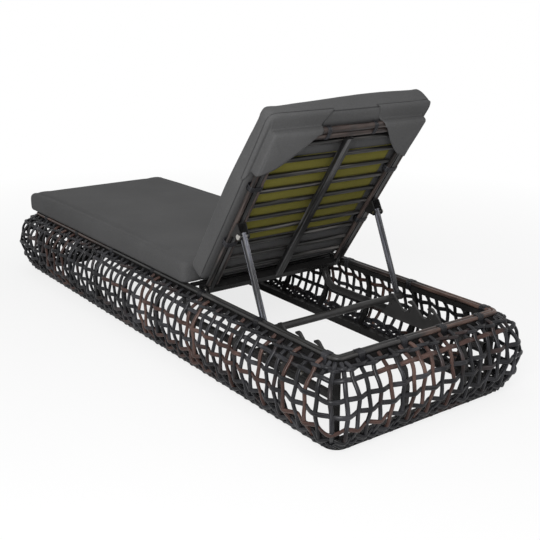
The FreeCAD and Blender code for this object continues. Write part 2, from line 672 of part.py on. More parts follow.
def rack_outline():
    """Three teeth on a common web."""
    steps = [down_the_face(0, rack_foot)]
    for tooth in range(3):
        if tooth:
            steps.append(down_the_face(tooth, rack_base))
        low, end, high = (in_tooth(tooth, share) for share in slot_shares)
        root, tip, top, crown, shoulder = (in_tooth(tooth, share) for share in beak_shares)
        touch = s.rack_slope - 90
        steps += [round_bar(tooth, touch),
                  (round_bar(tooth, (touch + s.notch_end_angle) / 2), round_bar(tooth, s.notch_end_angle)),
                  low, (end, high), root, (tip, top), (crown, shoulder),
                  (shoulder[0] + (shoulder[1] - rack_base) / fall, rack_base)]
    steps.append((steps[-1][0], rack_foot))
    return steps


def rack(label, side):
    low_x = s.rack_plate_place if side > 0 else -s.rack_plate_place - s.rack_plate_thick
    body = new_body("rack_" + label, at(low_x, 0, 0))
    web = new_sketch(body, "YZ_Plane")
    outline = rack_outline()
    draw_outline(web, outline)
    hole_up = rack_base + s.rack_hole_radius + s.rack_hole_gap
    for tooth in range(3):
        hole_along = bar_y + (tooth + rack_hole_share) * s.notch_pitch
        draw_circle(web, (hole_along, hole_up), "2 * rack_hole_radius")
    pad(body, web, "rack_plate_thick")
    flange = new_sketch(body, "XY_Plane", offset=rail_top)
    near = 0 if side > 0 else s.rack_plate_thick
    far = near + side * (s.rack_rail_place + s.bolt_diameter - s.rack_plate_place)
    front, back = outline[0][0] + s.rack_plate_thick, outline[-1][0]
    draw_outline(flange, ((near, front), (far, front), (far, back), (near, back)))
    for tooth in range(3):
        draw_circle(flange, (near + side * (s.rack_rail_place - s.rack_plate_place), bolt_y(tooth)),
                    "bolt_diameter")
    pad(body, flange, "rack_flange_thick")
    keep(body, "rack_" + label)


def bolt_y(tooth):
    return bar_y + (tooth + bolt_share) * s.notch_pitch


both_sides(rack)
bolts = []
for side in (1, -1):
    for tooth in range(3):
        start = V(side * s.rack_rail_place, bolt_y(tooth), rail_top)
        bolts.append(stepped_pin("rack_bolt_%d_%d" % (side + 1, tooth), "bolt_diameter",
                                 "rack_flange_thick", "bolt_head_radius", "bolt_head_thick",
                                 start, Rotation()))
group("rack_bolts", bolts)

# Cushions: a boxed pad whose sides draw in between its corners and whose top is crowned
# Each level is a share of the thickness up, and how far its outline is set in, in edges.
cushion_shares = ((0.0, 1.0), (0.16, 0.3), (0.5, 0.0), (0.76, 0.35), (0.88, 1.6))


def cushion_ring(long, half_width, set_in, height):
    """A rounded outline with each side bowed in, from y = 0 to y = long."""
    radius = s.cushion_corner_radius - set_in / 2
    x, low, high = half_width - set_in, set_in, long - set_in
    slant = radius * (1 - math.sin(math.radians(45)))
    bow = s.cushion_draw_in
    middle = (low + high) / 2
    points = ((x, low + radius), (x - bow, middle), (x, high - radius), (x - slant, high - slant),
              (x - radius, high), (0, high - bow), (radius - x, high), (slant - x, high - slant),
              (-x, high - radius), (bow - x, middle), (-x, low + radius), (slant - x, low + slant),
              (radius - x, low), (0, low + bow), (x - radius, low), (x - slant, low + slant),
              (x, low + radius))
    points = [V(across, along, height) for across, along in points]
    return Part.Wire([Part.Arc(*points[index:index + 3]).toShape() for index in range(0, 16, 2)])


def cushion(label, long, half_width, thick, placement):
    rings = [cushion_ring(long, half_width, s.cushion_edge * inset, thick * up)
             for up, inset in cushion_shares]
    crown_edge = s.cushion_edge + s.cushion_crown_inset
    rings.append(cushion_ring(long, half_width, crown_edge, thick))
    thing = doc.addObject("Part::Feature", label)
    thing.Shape = Part.makeLoft(rings, True, True)
    thing.Placement = placement
    return keep(thing, label)


cushion_low = s.rim_top + s.lashing_thick + s.cushion_gap
cushion("seat_cushion", s.seat_cushion_foot + s.seat_cushion_head, s.seat_cushion_half_width,
        s.seat_cushion_thick, at(0, -s.seat_cushion_foot, cushion_low))
back_face = s.back_tube_deep / 2
panel_low = back_face + s.cushion_gap
back_cushion_low = panel_low + s.panel_thick + s.cushion_gap
cushion("back_cushion", s.back_cushion_long, s.back_cushion_half_width, s.back_cushion_thick,
        BACK.multiply(at(0, s.back_cushion_start, back_cushion_low)))
cloth = doc.addObject("Part::Box", "cushion_hinge")
bind(cloth, Length="2 * cloth_hinge_half_width", Width="cloth_hinge_long", Height="cloth_hinge_thick")
cloth.Placement = at(-s.cloth_hinge_half_width, s.seat_cushion_head + s.cushion_gap,
                     s.hinge_z + s.hinge_ear_radius + s.cushion_gap)
keep(cloth, "cushion_hinge")
panel = doc.addObject("Part::Box", "cushion_panel")
bind(panel, Length="2 * panel_half_width", Width="panel_long", Height="panel_thick")
panel.Placement = BACK.multiply(at(-s.panel_half_width, s.panel_start, panel_low))
keep(panel, "cushion_panel")

# Back frame, in its own frame: Y runs up the back from the hinge, Z towards the sitter
back_tube_top = s.back_top - 2 * s.back_top_pole_diameter
back_tube_mid = (back_tube_top - s.back_tail) / 2
pole_drop = (s.back_pole_diameter - s.back_tube_deep) / 2
TUBE_LONG = "back_top - 2 * back_top_pole_diameter + back_tail"
POLE_LONG = "back_top - 2 * back_top_pole_diameter - back_pole_start"


def back_side(label, side):
    middle = side * (back_tube_outer + back_tube_inner) / 2
    frame = BACK.multiply(Placement(V(middle, back_tube_mid, 0), ALONG_Y))
    body = box_tube("back_rail_" + label, "back_tube_wide", "back_tube_deep", TUBE_LONG, frame)
    hole = new_sketch(body, "YZ_Plane")
    draw_circle(hole, (0, -back_tube_mid), "hinge_pin_diameter + 2 * running_gap")
    pocket_through(body, hole)
    keep(body, "back_rail_" + label)
    places = (s.back_half_width - s.back_pole_diameter / 2, back_tube_inner - s.back_pole_diameter / 2)
    group("back_poles_" + label,
          [rod("back_pole_%s_%d" % (label, index), "back_pole_diameter", POLE_LONG,
               V(side * place, s.back_pole_start, pole_drop), ALONG_Y, BACK)
           for index, place in enumerate(places)])


both_sides(back_side)
back_turn = Rotation(V(0, 1, 0), 90)
tail_deep = s.back_strut_start + s.back_tail
keep(box_tube("back_bottom_rail", "back_tube_deep", "back_strut_start + back_tail",
              "2 * ( back_half_width - back_pole_diameter - back_tube_wide )",
              BACK.multiply(Placement(V(0, s.back_strut_start - tail_deep / 2, 0), back_turn))),
     "back_bottom_rail")
group("back_top_poles",
      [rod("back_top_pole_%d" % index, "back_top_pole_diameter", "2 * back_half_width",
           V(-s.back_half_width, s.back_top - (index + 0.5) * s.back_top_pole_diameter, 0), ALONG_X, BACK)
       for index in range(2)])
back_strut = doc.addObject("Part::Box", "back_strut")
bind(back_strut, Length="strut_wide", Height="strut_tall",
     Width="back_top - 2 * back_top_pole_diameter - back_strut_start")
rod_height = back_face - s.back_rod_diameter / 2
back_strut.Placement = BACK.multiply(at(-s.strut_wide / 2, s.back_strut_start,
                                        rod_height - s.back_rod_diameter / 2 - s.strut_tall))
keep(back_strut, "back_strut")
rods_inner = back_tube_inner - s.back_pole_diameter
back_rods = new_body("back_rods", BACK.multiply(at(-rods_inner, s.back_rod_start, rod_height)), apart=True)
rod_section = new_sketch(back_rods, "YZ_Plane")
draw_circle(rod_section, (0, 0), "back_rod_diameter")
pad(back_rods, rod_section, "2 * ( back_half_width - 2 * back_pole_diameter - back_tube_wide )")
keep(repeat_along(back_rods, "back_rod_pitch", "back_rods"), "back_rods")


def back_lashing(name, wide, deep, long, x, y, turn):
    """A band wound round the side members, or round the two top poles."""
    body = new_body(name, BACK.multiply(Placement(V(x, y, 0), turn)))
    sketch = new_sketch(body, "XY_Plane")
    draw_box(sketch, wide, deep)
    draw_box(sketch, wide + " + 2 * lashing_thick", deep + " + 2 * lashing_thick")
    pad(body, sketch, long, middle=True)
    return body


lashing_shares = (0.278, 0.722)
bands = []
side_middle = (s.back_half_width + rods_inner) / 2
rod_run = (s.back_rods - 1) * s.back_rod_pitch
for index, share in enumerate(lashing_shares):
    for side in (1, -1):
        bands.append(back_lashing("side_lashing_%d_%d" % (index, side + 1),
                                  "2 * back_pole_diameter + back_tube_wide", "back_tube_deep",
                                  "back_lashing_long", side * side_middle,
                                  s.back_rod_start + share * rod_run, ALONG_Y))
for side in (1, -1):
    place = side * (s.pocket_inner - s.top_lashing_inset)
    bands.append(back_lashing("top_lashing_%d" % (side + 1), "back_top_pole_diameter",
                              "2 * back_top_pole_diameter", "back_lashing_long", place,
                              s.back_top - s.back_top_pole_diameter, back_turn))
group("back_lashings", bands)


# Corner pockets hold the cushion: a rear skin, a side wall and a top wall of cloth
def pocket(label, side):
    wall_in = s.back_half_width + s.pocket_gap
    wall_out = wall_in + s.pocket_skin
    top_in = s.back_top + s.pocket_gap
    top_out = top_in + s.pocket_skin
    rear = -back_face - s.pocket_gap
    bowed = ((wall_out + s.pocket_inner) / 2 + s.pocket_bow_out,
             (s.pocket_low + top_out) / 2 - s.pocket_bow_down)
    skin = new_body("pocket_skin_" + label, BACK)
    sketch = new_sketch(skin, "XY_Plane", offset=rear - s.pocket_skin)
    low, corner, inner, middle = [(side * x, y) for x, y in ((wall_out, s.pocket_low), (wall_out, top_out),
                                                             (s.pocket_inner, top_out), bowed)]
    draw_outline(sketch, (corner, inner, (middle, low)))
    pad(skin, sketch, "pocket_skin")
    reach = "back_tube_deep + pocket_gap + cushion_gap + panel_thick"
    wall = doc.addObject("Part::Box", "pocket_wall_" + label)
    bind(wall, Length="pocket_skin", Width="pocket_long + pocket_gap + pocket_skin", Height=reach)
    wall.Placement = BACK.multiply(at(wall_in if side > 0 else -wall_out, s.pocket_low, rear))
    top = doc.addObject("Part::Box", "pocket_top_" + label)
    bind(top, Length="pocket_wide + pocket_gap", Width="pocket_skin", Height=reach)
    top.Placement = BACK.multiply(at(s.pocket_inner if side > 0 else -wall_in, top_in, rear))
    group("pocket_" + label, [skin, wall, top])


both_sides(pocket)


# Prop brackets: a base plate under the side rail and two ears that hold the prop's pin
def bracket(side):
    rear = -back_face
    place = side * s.prop_leg_place
    body = new_body("prop_bracket_%d" % (side + 1), BACK.multiply(at(place, s.prop_pin_along, 0)))
    half = s.prop_leg_diameter / 2 + s.bracket_ear_gap
    base = new_sketch(body, "XY_Plane", offset=rear - s.bracket_base_thick)
    draw_box(base, "prop_leg_diameter + 2 * bracket_ear_gap + 2 * bracket_ear_thick", "bracket_long")
    pad(body, base, "bracket_base_thick")
    for ear_side in (1, -1):
        low = half if ear_side > 0 else -half - s.bracket_ear_thick
        ear = new_sketch(body, "YZ_Plane", offset=low)
        radius, heel, drop = s.bracket_ear_radius, s.bracket_long / 2, -s.prop_pin_drop
        plate = rear - s.bracket_base_thick
        draw_outline(ear, ((heel, plate), (radius, drop), ((0, drop - radius), (-radius, drop)),
                           (-heel, plate)))
        draw_circle(ear, (0, drop), "prop_pin_diameter")
        pad(body, ear, "bracket_ear_thick")
    return body


def prop_pin(side):
    half = s.prop_leg_diameter / 2 + s.bracket_ear_gap + s.bracket_ear_thick
    start = V(side * (s.prop_leg_place - half), s.prop_pin_along, -s.prop_pin_drop)
    return stepped_pin("prop_pin_%d" % (side + 1), "prop_pin_diameter",
                       "prop_leg_diameter + 2 * bracket_ear_gap + 2 * bracket_ear_thick",
                       "pin_head_radius", "pin_head_thick", start, Rotation(V(0, 1, 0), 90 * side), BACK)


group("prop_brackets", [bracket(1), bracket(-1)])
group("prop_pins", [prop_pin(1), prop_pin(-1)])

# Prop, in its own frame: Y runs down the legs from the pins to the crossbar
PROP = at(pin_place.x, pin_place.y, pin_place.z, V(1, 0, 0), s.prop_leg_angle)


def prop_leg(label, side):
    """A fluted leg with a cross hole near its rounded top."""
    top = s.prop_leg_diameter / 2
    place = PROP.multiply(Placement(V(side * s.prop_leg_place, -top, 0), ALONG_Y))
    body = new_body("prop_leg_" + label, place)
    section = new_sketch(body, "XY_Plane")
    draw_circle(section, (0, 0), "prop_leg_diameter")
    pad(body, section, "prop_leg_long + prop_leg_diameter / 2 - crossbar_diameter / 2")
    groove = new_sketch(body, "XY_Plane")
    draw_circle(groove, (top, 0), "2 * flute_radius")
    flute = body.newObject("PartDesign::Pocket", body.Name + "_flute")
    flute.Profile = groove
    flute.Type = "ThroughAll"
    flute.Reversed = True
    body.Tip = flute
    ring = body.newObject("PartDesign::PolarPattern", body.Name + "_flutes")
    ring.Originals = [flute]
    axis = next(f for f in body.Origin.OriginFeatures if f.Role == "Z_Axis")
    ring.Axis = (axis, [""])
    ring.Angle = 360
    bind(ring, Occurrences="flutes")
    body.Tip = ring
    hole = new_sketch(body, "YZ_Plane")
    draw_circle(hole, (0, top), "prop_pin_diameter + 2 * running_gap")
    pocket_through(body, hole)
    keep(body, "prop_leg_" + label)


both_sides(prop_leg)
bar_half = s.prop_leg_place + s.crossbar_overhang
keep(rod("crossbar", "crossbar_diameter", "2 * ( prop_leg_place + crossbar_overhang )",
         V(-bar_half, s.prop_leg_long, 0), ALONG_X, PROP), "crossbar")
group("crossbar_caps",
      [rod("crossbar_cap_%d" % (side + 1), "2 * end_cap_radius", "end_cap_thick",
           V(side * bar_half, s.prop_leg_long, 0), Rotation(V(0, 1, 0), 90 * side), PROP)
       for side in (1, -1)])

# Checks and export
doc.recompute()
os.makedirs("parts", exist_ok=True)
for thing in doc.Objects:
    if {"Invalid", "Error"} & set(thing.State):
        raise RuntimeError("%s failed: %s" % (thing.Name, thing.State))
for thing in kept:
    if thing.Shape.isNull() or not thing.Shape.isValid():
        raise RuntimeError("%s has no valid shape" % thing.Label)
for thing in kept:
    thing.Shape.exportStep("parts/%s.step" % thing.Label)
print("%d nodes, %d solids" % (len(kept), sum(len(thing.Shape.Solids) for thing in kept)))
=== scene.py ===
import math

import bpy
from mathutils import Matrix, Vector, noise
from mathutils.bvhtree import BVHTree


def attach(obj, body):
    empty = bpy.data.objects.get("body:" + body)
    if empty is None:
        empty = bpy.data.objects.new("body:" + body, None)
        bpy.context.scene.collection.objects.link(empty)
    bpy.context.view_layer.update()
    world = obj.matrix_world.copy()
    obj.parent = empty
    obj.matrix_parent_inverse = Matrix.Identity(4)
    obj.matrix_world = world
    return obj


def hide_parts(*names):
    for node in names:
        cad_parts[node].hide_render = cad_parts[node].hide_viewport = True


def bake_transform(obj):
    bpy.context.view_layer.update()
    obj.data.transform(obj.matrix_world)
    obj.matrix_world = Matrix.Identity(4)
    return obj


MM = 0.001
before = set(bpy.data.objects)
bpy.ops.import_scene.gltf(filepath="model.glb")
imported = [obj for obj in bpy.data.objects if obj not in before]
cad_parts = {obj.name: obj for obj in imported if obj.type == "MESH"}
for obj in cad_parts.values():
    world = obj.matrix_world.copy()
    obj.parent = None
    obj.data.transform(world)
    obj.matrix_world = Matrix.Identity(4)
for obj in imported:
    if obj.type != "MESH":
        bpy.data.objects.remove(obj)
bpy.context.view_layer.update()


# Helpers for node trees

def shade(name):
    """An empty node material, its tree and its shader."""
    finish = bpy.data.materials.new(name)
    finish.use_nodes = True
    tree = finish.node_tree
    shader = tree.nodes["Principled BSDF"]
    return finish, tree, shader


def open_socket(node, label):
    """The input of that name that this node's kind of data uses."""
    return next(socket for socket in node.inputs if socket.name == label and socket.enabled)


def add(tree, kind, inputs=None, **settings):
    """A new node with its settings made and its inputs linked or filled in."""
    node = tree.nodes.new(kind)
    for key, value in settings.items():
        setattr(node, key, value)
    for key, value in (inputs or {}).items():
        socket = node.inputs[key] if isinstance(key, int) else open_socket(node, key)
        if isinstance(value, bpy.types.NodeSocket):
            tree.links.new(value, socket)
        else:
            socket.default_value = value
    return node


def maths(tree, way, one, other):
    """Two values put together in a way, such as ADD."""
    return add(tree, "ShaderNodeMath", {0: one, 1: other}, operation=way).outputs[0]


def remapped(tree, value, low, high, to_low=0.0, to_high=1.0):
    """The value moved from one range into another and held inside it."""
    ends = {"From Min": low, "From Max": high, "To Min": to_low, "To Max": to_high}
    return add(tree, "ShaderNodeMapRange", {"Value": value, **ends}).outputs["Result"]


def spread(tree, factor, low, high):
    """A factor from 0 to 1 as a value from low to high."""
    return remapped(tree, factor, 0.0, 1.0, low, high)


def blended(tree, factor, one, other):
    """Two colours mixed by a factor."""
    mix = add(tree, "ShaderNodeMix", {"Factor": factor, "A": one, "B": other}, data_type="RGBA")
    return next(socket for socket in mix.outputs if socket.enabled)


def colours(tree, factor, places, tones):
    """A run of colours along a factor, with one tone at each place."""
    ramp = add(tree, "ShaderNodeValToRGB", {"Fac": factor})
    band = ramp.color_ramp
    while len(band.elements) < len(places):
        band.elements.new(0.5)
    for element, place, tone in zip(band.elements, places, tones):
        element.position = place
        element.color = (*tone, 1)
    return ramp.outputs["Color"]


def scaled(colour, share):
    """A colour made darker or lighter."""
    return tuple(share * part for part in colour)


def on_body(tree):
    """Places on the piece's own body, which don't slide when it moves."""
    return add(tree, "ShaderNodeTexCoord").outputs["Object"]


def turned(tree, source, rotation):
    """Places turned, so that a pattern runs another way."""
    return add(tree, "ShaderNodeMapping", {"Vector": source, "Rotation": rotation}).outputs["Vector"]


EVEN = (1, 1, 1)


def grain(tree, source, scale, fineness, detail):
    """Noise that is drawn out along the axes where the scale is low."""
    place = add(tree, "ShaderNodeMapping", {"Vector": source, "Scale": scale}).outputs["Vector"]
    field = add(tree, "ShaderNodeTexNoise", {"Vector": place, "Scale": fineness, "Detail": detail})
    return field.outputs["Fac"]


def surface(tree, shader, colour, rough, shine):
    """Connect a colour and a roughness, and set how strongly the surface reflects."""
    tree.links.new(colour, shader.inputs["Base Color"])
    tree.links.new(rough, shader.inputs["Roughness"])
    shader.inputs["Specular IOR Level"].default_value = shine


def raised(tree, shader, height, strength, distance):
    """Let the surface look raised where the height is great."""
    bump = add(tree, "ShaderNodeBump", {"Height": height, "Strength": strength, "Distance": distance})
    tree.links.new(bump.outputs["Normal"], shader.inputs["Normal"])


# Finishes of cane, metal, plastic and cloth

def cane(name, dark, brown, gloss):
    """Round plastic cane. Its streaks run along the strand, and tint says how brown a stretch of it is."""
    finish, tree, shader = shade(name)
    run = add(tree, "ShaderNodeAttribute", attribute_name="run").outputs["Vector"]
    tint = add(tree, "ShaderNodeAttribute", attribute_name="tint").outputs["Fac"]
    streak = grain(tree, run, (1, 1, 14), 2.6, 4.0)
    patch = grain(tree, on_body(tree), EVEN, 9.0, 2.0)
    half = maths(tree, "MULTIPLY", maths(tree, "ADD", streak, patch), 0.5)
    worn = [colours(tree, half, (0.34, 0.5, 0.66), tones) for tones in (dark, brown)]
    surface(tree, shader, blended(tree, tint, *worn),
            spread(tree, streak, gloss - 0.07, gloss + 0.12), 0.22)
    raised(tree, shader, streak, 0.3, 0.0006)
    return finish


POLE_DARK = (0.009, 0.009, 0.0092), (0.021, 0.0205, 0.0205), (0.048, 0.046, 0.045)
POLE_WARM = (0.03, 0.017, 0.014), (0.075, 0.043, 0.034), (0.13, 0.085, 0.07)
POLE_MIDDLE = 0.02                       # across which one side's wear gives way to the other's


def pole(name, run, leaning, brown_at):
    """A long pole of smooth cane: fine streaks along it, and brown where its colour has worn through.

    Each worn stretch is its side, 1 for the left, and where along the lounger it starts and is full.
    """
    finish, tree, shader = shade(name)
    body = on_body(tree)
    streak = grain(tree, turned(tree, body, (leaning, 0, 0)), run, 9.0, 4.0)
    patch = grain(tree, body, EVEN, 5.0, 3.0)
    across, endways, _ = add(tree, "ShaderNodeSeparateXYZ", {0: body}).outputs
    stretches = [maths(tree, "MULTIPLY", remapped(tree, endways, start, full),
                       remapped(tree, across, -POLE_MIDDLE * side, POLE_MIDDLE * side))
                 for side, start, full in brown_at]
    worn = maths(tree, "MAXIMUM", *stretches)
    shown = remapped(tree, maths(tree, "ADD", streak, patch), 0.75, 1.05)
    dark, warm = [colours(tree, streak, (0.34, 0.52, 0.68), tones) for tones in (POLE_DARK, POLE_WARM)]
    surface(tree, shader, blended(tree, maths(tree, "MULTIPLY", shown, worn), dark, warm),
            spread(tree, streak, 0.26, 0.44), 0.3)
    raised(tree, shader, streak, 0.3, 0.0005)
    return finish


def paint(name, colour, gloss, orange_peel, shine=0.22):
    """Baked powder paint on the metal frame."""
    finish, tree, shader = shade(name)
    body = on_body(tree)
    fine = grain(tree, body, EVEN, 420.0, 2.0)
    broad = grain(tree, body, EVEN, 14.0, 3.0)
    tones = scaled(colour, 0.75), colour, scaled(colour, 1.3)
    surface(tree, shader, colours(tree, broad, (0.3, 0.55, 0.75), tones),
            spread(tree, broad, gloss - 0.06, gloss + 0.1), shine)
    raised(tree, shader, fine, orange_peel, 0.0003)
    return finish


def tube_with_painted_highlights(name, run, leaning, colour, gloss):
    """Smooth painted tube with bright lines along it. The lines are painted highlights in its colour,
    standing in for light caught along the tube.
    """
    finish, tree, shader = shade(name)
    line = grain(tree, turned(tree, on_body(tree), (leaning, 0, 0)), run, 9.0, 2.0)
    # The brightest tone, 3.4 times the colour, is the painted highlight where the stretched noise runs high.
    tones = [scaled(colour, share) for share in (0.25, 0.6, 3.4)]
    surface(tree, shader, colours(tree, line, (0.42, 0.54, 0.66), tones),
            spread(tree, line, gloss + 0.1, gloss - 0.06), 0.4)
    raised(tree, shader, line, 0.25, 0.0005)
    return finish


def bright_metal(name, colour):
    """Plated steel of bolts and pins, a little dulled."""
    finish, tree, shader = shade(name)
    wear = grain(tree, on_body(tree), EVEN, 160.0, 4.0)
    surface(tree, shader, colours(tree, wear, (0.3, 0.7), (scaled(colour, 0.6), colour)),
            spread(tree, wear, 0.2, 0.42), 0.5)
    shader.inputs["Metallic"].default_value = 1.0
    raised(tree, shader, wear, 0.15, 0.0002)
    return finish


def cloth(name, colour):
    """Plain woven outdoor cloth: warp and weft threads, a few slubs and a faint worn bloom."""
    finish, tree, shader = shade(name)
    body = on_body(tree)
    crossed = []
    for way in (0.0, math.pi / 2):
        wave = add(tree, "ShaderNodeTexWave",
                   {"Vector": turned(tree, body, (0.6, 0.35, way)), "Scale": 70.0, "Distortion": 0.8,
                    "Detail": 2.0, "Detail Scale": 3.0})
        crossed.append(wave.outputs["Fac"])
    slub = grain(tree, body, EVEN, 260.0, 4.0)
    bloom = grain(tree, body, EVEN, 4.0, 3.0)
    weave = maths(tree, "ADD", maths(tree, "MULTIPLY", *crossed), slub)
    tone = maths(tree, "MULTIPLY", maths(tree, "ADD", slub, bloom), 0.5)
    tones = scaled(colour, 0.86), colour, scaled(colour, 1.16)
    surface(tree, shader, colours(tree, tone, (0.35, 0.5, 0.65), tones),
            spread(tree, slub, 0.82, 0.96), 0.12)
    shader.inputs["Sheen Weight"].default_value = 0.03
    shader.inputs["Sheen Roughness"].default_value = 0.5
    raised(tree, shader, weave, 0.25, 0.0004)
    return finish


TILT = math.radians(55.3)                # the raised backrest's slope from flat
PROP_LEAN = math.radians(23.6)           # how far the prop's legs lean from upright
STRUT_LEAN = math.radians(34.7)          # how far the backrest leans from upright
DOWN_TUBE, ACROSS_TUBE = (17, 17, 0.6), (0.6, 17, 17)
LENGTHWISE, CROSSWISE = (14, 1, 14), (1, 14, 14)
RIM_BROWN = ((1, -0.25, -0.55), (-1, 0.35, 0.8))     # left towards the foot, right towards the head
BACK_BROWN = ((1, -2.0, 5.0), (-1, -2.0, 5.0))       # a little everywhere

round_cane = cane("round_cane", ((0.003, 0.003, 0.004), (0.013, 0.013, 0.015), (0.05, 0.05, 0.057)),
                  ((0.02, 0.01, 0.008), (0.055, 0.029, 0.024), (0.12, 0.073, 0.06)), 0.27)
rim_cane = pole("rim_cane", LENGTHWISE, 0.0, RIM_BROWN)
rim_end_cane = pole("rim_end_cane", CROSSWISE, 0.0, RIM_BROWN)
back_cane = pole("back_cane", LENGTHWISE, -TILT, BACK_BROWN)
top_cane = pole("top_cane", CROSSWISE, 0.0, BACK_BROWN)
frame_paint = paint("frame_paint", (0.016, 0.0155, 0.0155), 0.26, 0.1, 0.16)
rack_paint = paint("rack_paint", (0.034, 0.033, 0.033), 0.3, 0.12, 0.26)
# The prop, rod and strut finishes carry painted highlight lines in their colour.
prop_paint_painted_highlights = tube_with_painted_highlights("prop_paint_painted_highlights", DOWN_TUBE, -PROP_LEAN, (0.05, 0.051, 0.062), 0.14)
rod_paint_painted_highlights = tube_with_painted_highlights("rod_paint_painted_highlights", ACROSS_TUBE, 0.0, (0.026, 0.0245, 0.0235), 0.3)
strut_paint_painted_highlights = tube_with_painted_highlights("strut_paint_painted_highlights", DOWN_TUBE, STRUT_LEAN, (0.026, 0.0255, 0.026), 0.28)
cap_plastic = paint("cap_plastic", (0.014, 0.014, 0.015), 0.5, 0.2)
bolt_metal = bright_metal("bolt_metal", (0.72, 0.7, 0.66))
grey_cloth = cloth("grey_cloth", (0.085, 0.085, 0.086))
# The seams' cloth, about half as light as the cover, is painted shade along each seam.
seam_cloth_painted_shade = cloth("seam_cloth_painted_shade", (0.045, 0.045, 0.046))
olive_cloth = cloth("olive_cloth", (0.15, 0.136, 0.026))


# Sweeping cane along guide lines

CANE_INPUTS = (("Thickness", "NodeSocketFloat", 0.0095), ("Flatness", "NodeSocketFloat", 0.85),
               ("Spacing", "NodeSocketFloat", 0.008), ("Wander", "NodeSocketFloat", 0.001),
               ("Seed", "NodeSocketFloat", 3.0), ("Sides", "NodeSocketInt", 8),
               ("Cane", "NodeSocketMaterial", None))
WANDER_RATE = 16.0                       # how quickly the wander changes from place to place


def inputs_of(tree, names):
    tree.interface.new_socket("Geometry", in_out="INPUT", socket_type="NodeSocketGeometry")
    for label, kind, value in names:
        socket = tree.interface.new_socket(label, in_out="INPUT", socket_type=kind)
        if value is not None:
            socket.default_value = value
    tree.interface.new_socket("Geometry", in_out="OUTPUT", socket_type="NodeSocketGeometry")
    return tree.nodes.new("NodeGroupInput").outputs


def measured(tree, geometry, label, value):
    """The geometry with a value kept on its points, and that value, as a node's outputs."""
    kept = add(tree, "GeometryNodeCaptureAttribute", {"Geometry": geometry})
    kept.capture_items.new("FLOAT", label)
    tree.links.new(value, kept.inputs[label])
    return kept.outputs


def guide_curve(tree, given):
    """The guides as smooth curves that sway a little, each facing the way that its lean says."""
    line = add(tree, "GeometryNodeMeshToCurve", {"Mesh": given["Geometry"]})
    smooth = add(tree, "GeometryNodeCurveSplineType", {"Curve": line.outputs["Curve"]},
                 spline_type="CATMULL_ROM")
    even = add(tree, "GeometryNodeResampleCurve",
               {"Curve": smooth.outputs["Curve"], "Length": given["Spacing"]}, mode="LENGTH")
    where = add(tree, "GeometryNodeInputPosition")
    field = add(tree, "ShaderNodeTexNoise",
                {"Vector": where.outputs[0], "W": given["Seed"], "Scale": WANDER_RATE, "Detail": 1.0},
                noise_dimensions="4D")
    centred = add(tree, "ShaderNodeVectorMath", {0: field.outputs["Color"], 1: (0.5, 0.5, 0.5)},
                  operation="SUBTRACT")
    sway = add(tree, "ShaderNodeVectorMath", {0: centred.outputs[0], "Scale": given["Wander"]},
               operation="SCALE")
    moved = add(tree, "GeometryNodeSetPosition",
                {"Geometry": even.outputs["Curve"], "Offset": sway.outputs[0]})
    lean = add(tree, "GeometryNodeInputNamedAttribute", {"Name": "lean"}, data_type="FLOAT_VECTOR")
    faced = add(tree, "GeometryNodeSetCurveNormal",
                {"Curve": moved.outputs["Geometry"], "Normal": lean.outputs["Attribute"]}, mode="FREE")
    return faced.outputs["Curve"]


def cane_section(tree, given):
    """The cane's cross section, a ring that is narrower along its normal."""
    ring = add(tree, "GeometryNodeCurvePrimitiveCircle", {"Resolution": given["Sides"], "Radius": 0.5})
    narrow = maths(tree, "MULTIPLY", given["Thickness"], given["Flatness"])
    size = add(tree, "ShaderNodeCombineXYZ", {"X": narrow, "Y": given["Thickness"], "Z": given["Thickness"]})
    section = add(tree, "GeometryNodeTransform",
                  {"Geometry": ring.outputs["Curve"], "Scale": size.outputs["Vector"]})
    return section.outputs["Geometry"]


def cane_tree():
    """Guides become smooth round strands. Wander shifts them a little with a fixed seed."""
    tree = bpy.data.node_groups.new("cane strands", "GeometryNodeTree")
    given = inputs_of(tree, CANE_INPUTS)
    along = add(tree, "GeometryNodeSplineParameter").outputs["Length"]
    guide = measured(tree, guide_curve(tree, given), "along", along)
    factor = add(tree, "GeometryNodeSplineParameter").outputs["Factor"]
    section = measured(tree, cane_section(tree, given), "turn", maths(tree, "MULTIPLY", factor, 2 * math.pi))
    swept = add(tree, "GeometryNodeCurveToMesh",
                {"Curve": guide["Geometry"], "Profile Curve": section["Geometry"], "Fill Caps": True})
    around = [add(tree, "ShaderNodeMath", {0: section["turn"]}, operation=way).outputs[0]
              for way in ("COSINE", "SINE")]
    run = add(tree, "ShaderNodeCombineXYZ", {"X": around[0], "Y": around[1], "Z": guide["along"]})
    named = add(tree, "GeometryNodeStoreNamedAttribute",
                {"Geometry": swept.outputs["Mesh"], "Name": "run", "Value": run.outputs["Vector"]},
                data_type="FLOAT_VECTOR", domain="POINT")
    soft = add(tree, "GeometryNodeSetShadeSmooth", {"Geometry": named.outputs["Geometry"]})
    real = add(tree, "GeometryNodeRealizeInstances", {"Geometry": soft.outputs["Geometry"]})
    done = add(tree, "GeometryNodeSetMaterial",
               {"Geometry": real.outputs["Geometry"], "Material": given["Cane"]})
    end = tree.nodes.new("NodeGroupOutput")
    tree.links.new(done.outputs["Geometry"], end.inputs["Geometry"])
    return tree


CANE_TREE = cane_tree()


def placed(name, mesh):
    """A new object in the scene that holds the mesh."""
    piece = bpy.data.objects.new(name, mesh)
    bpy.context.scene.collection.objects.link(piece)
    return piece


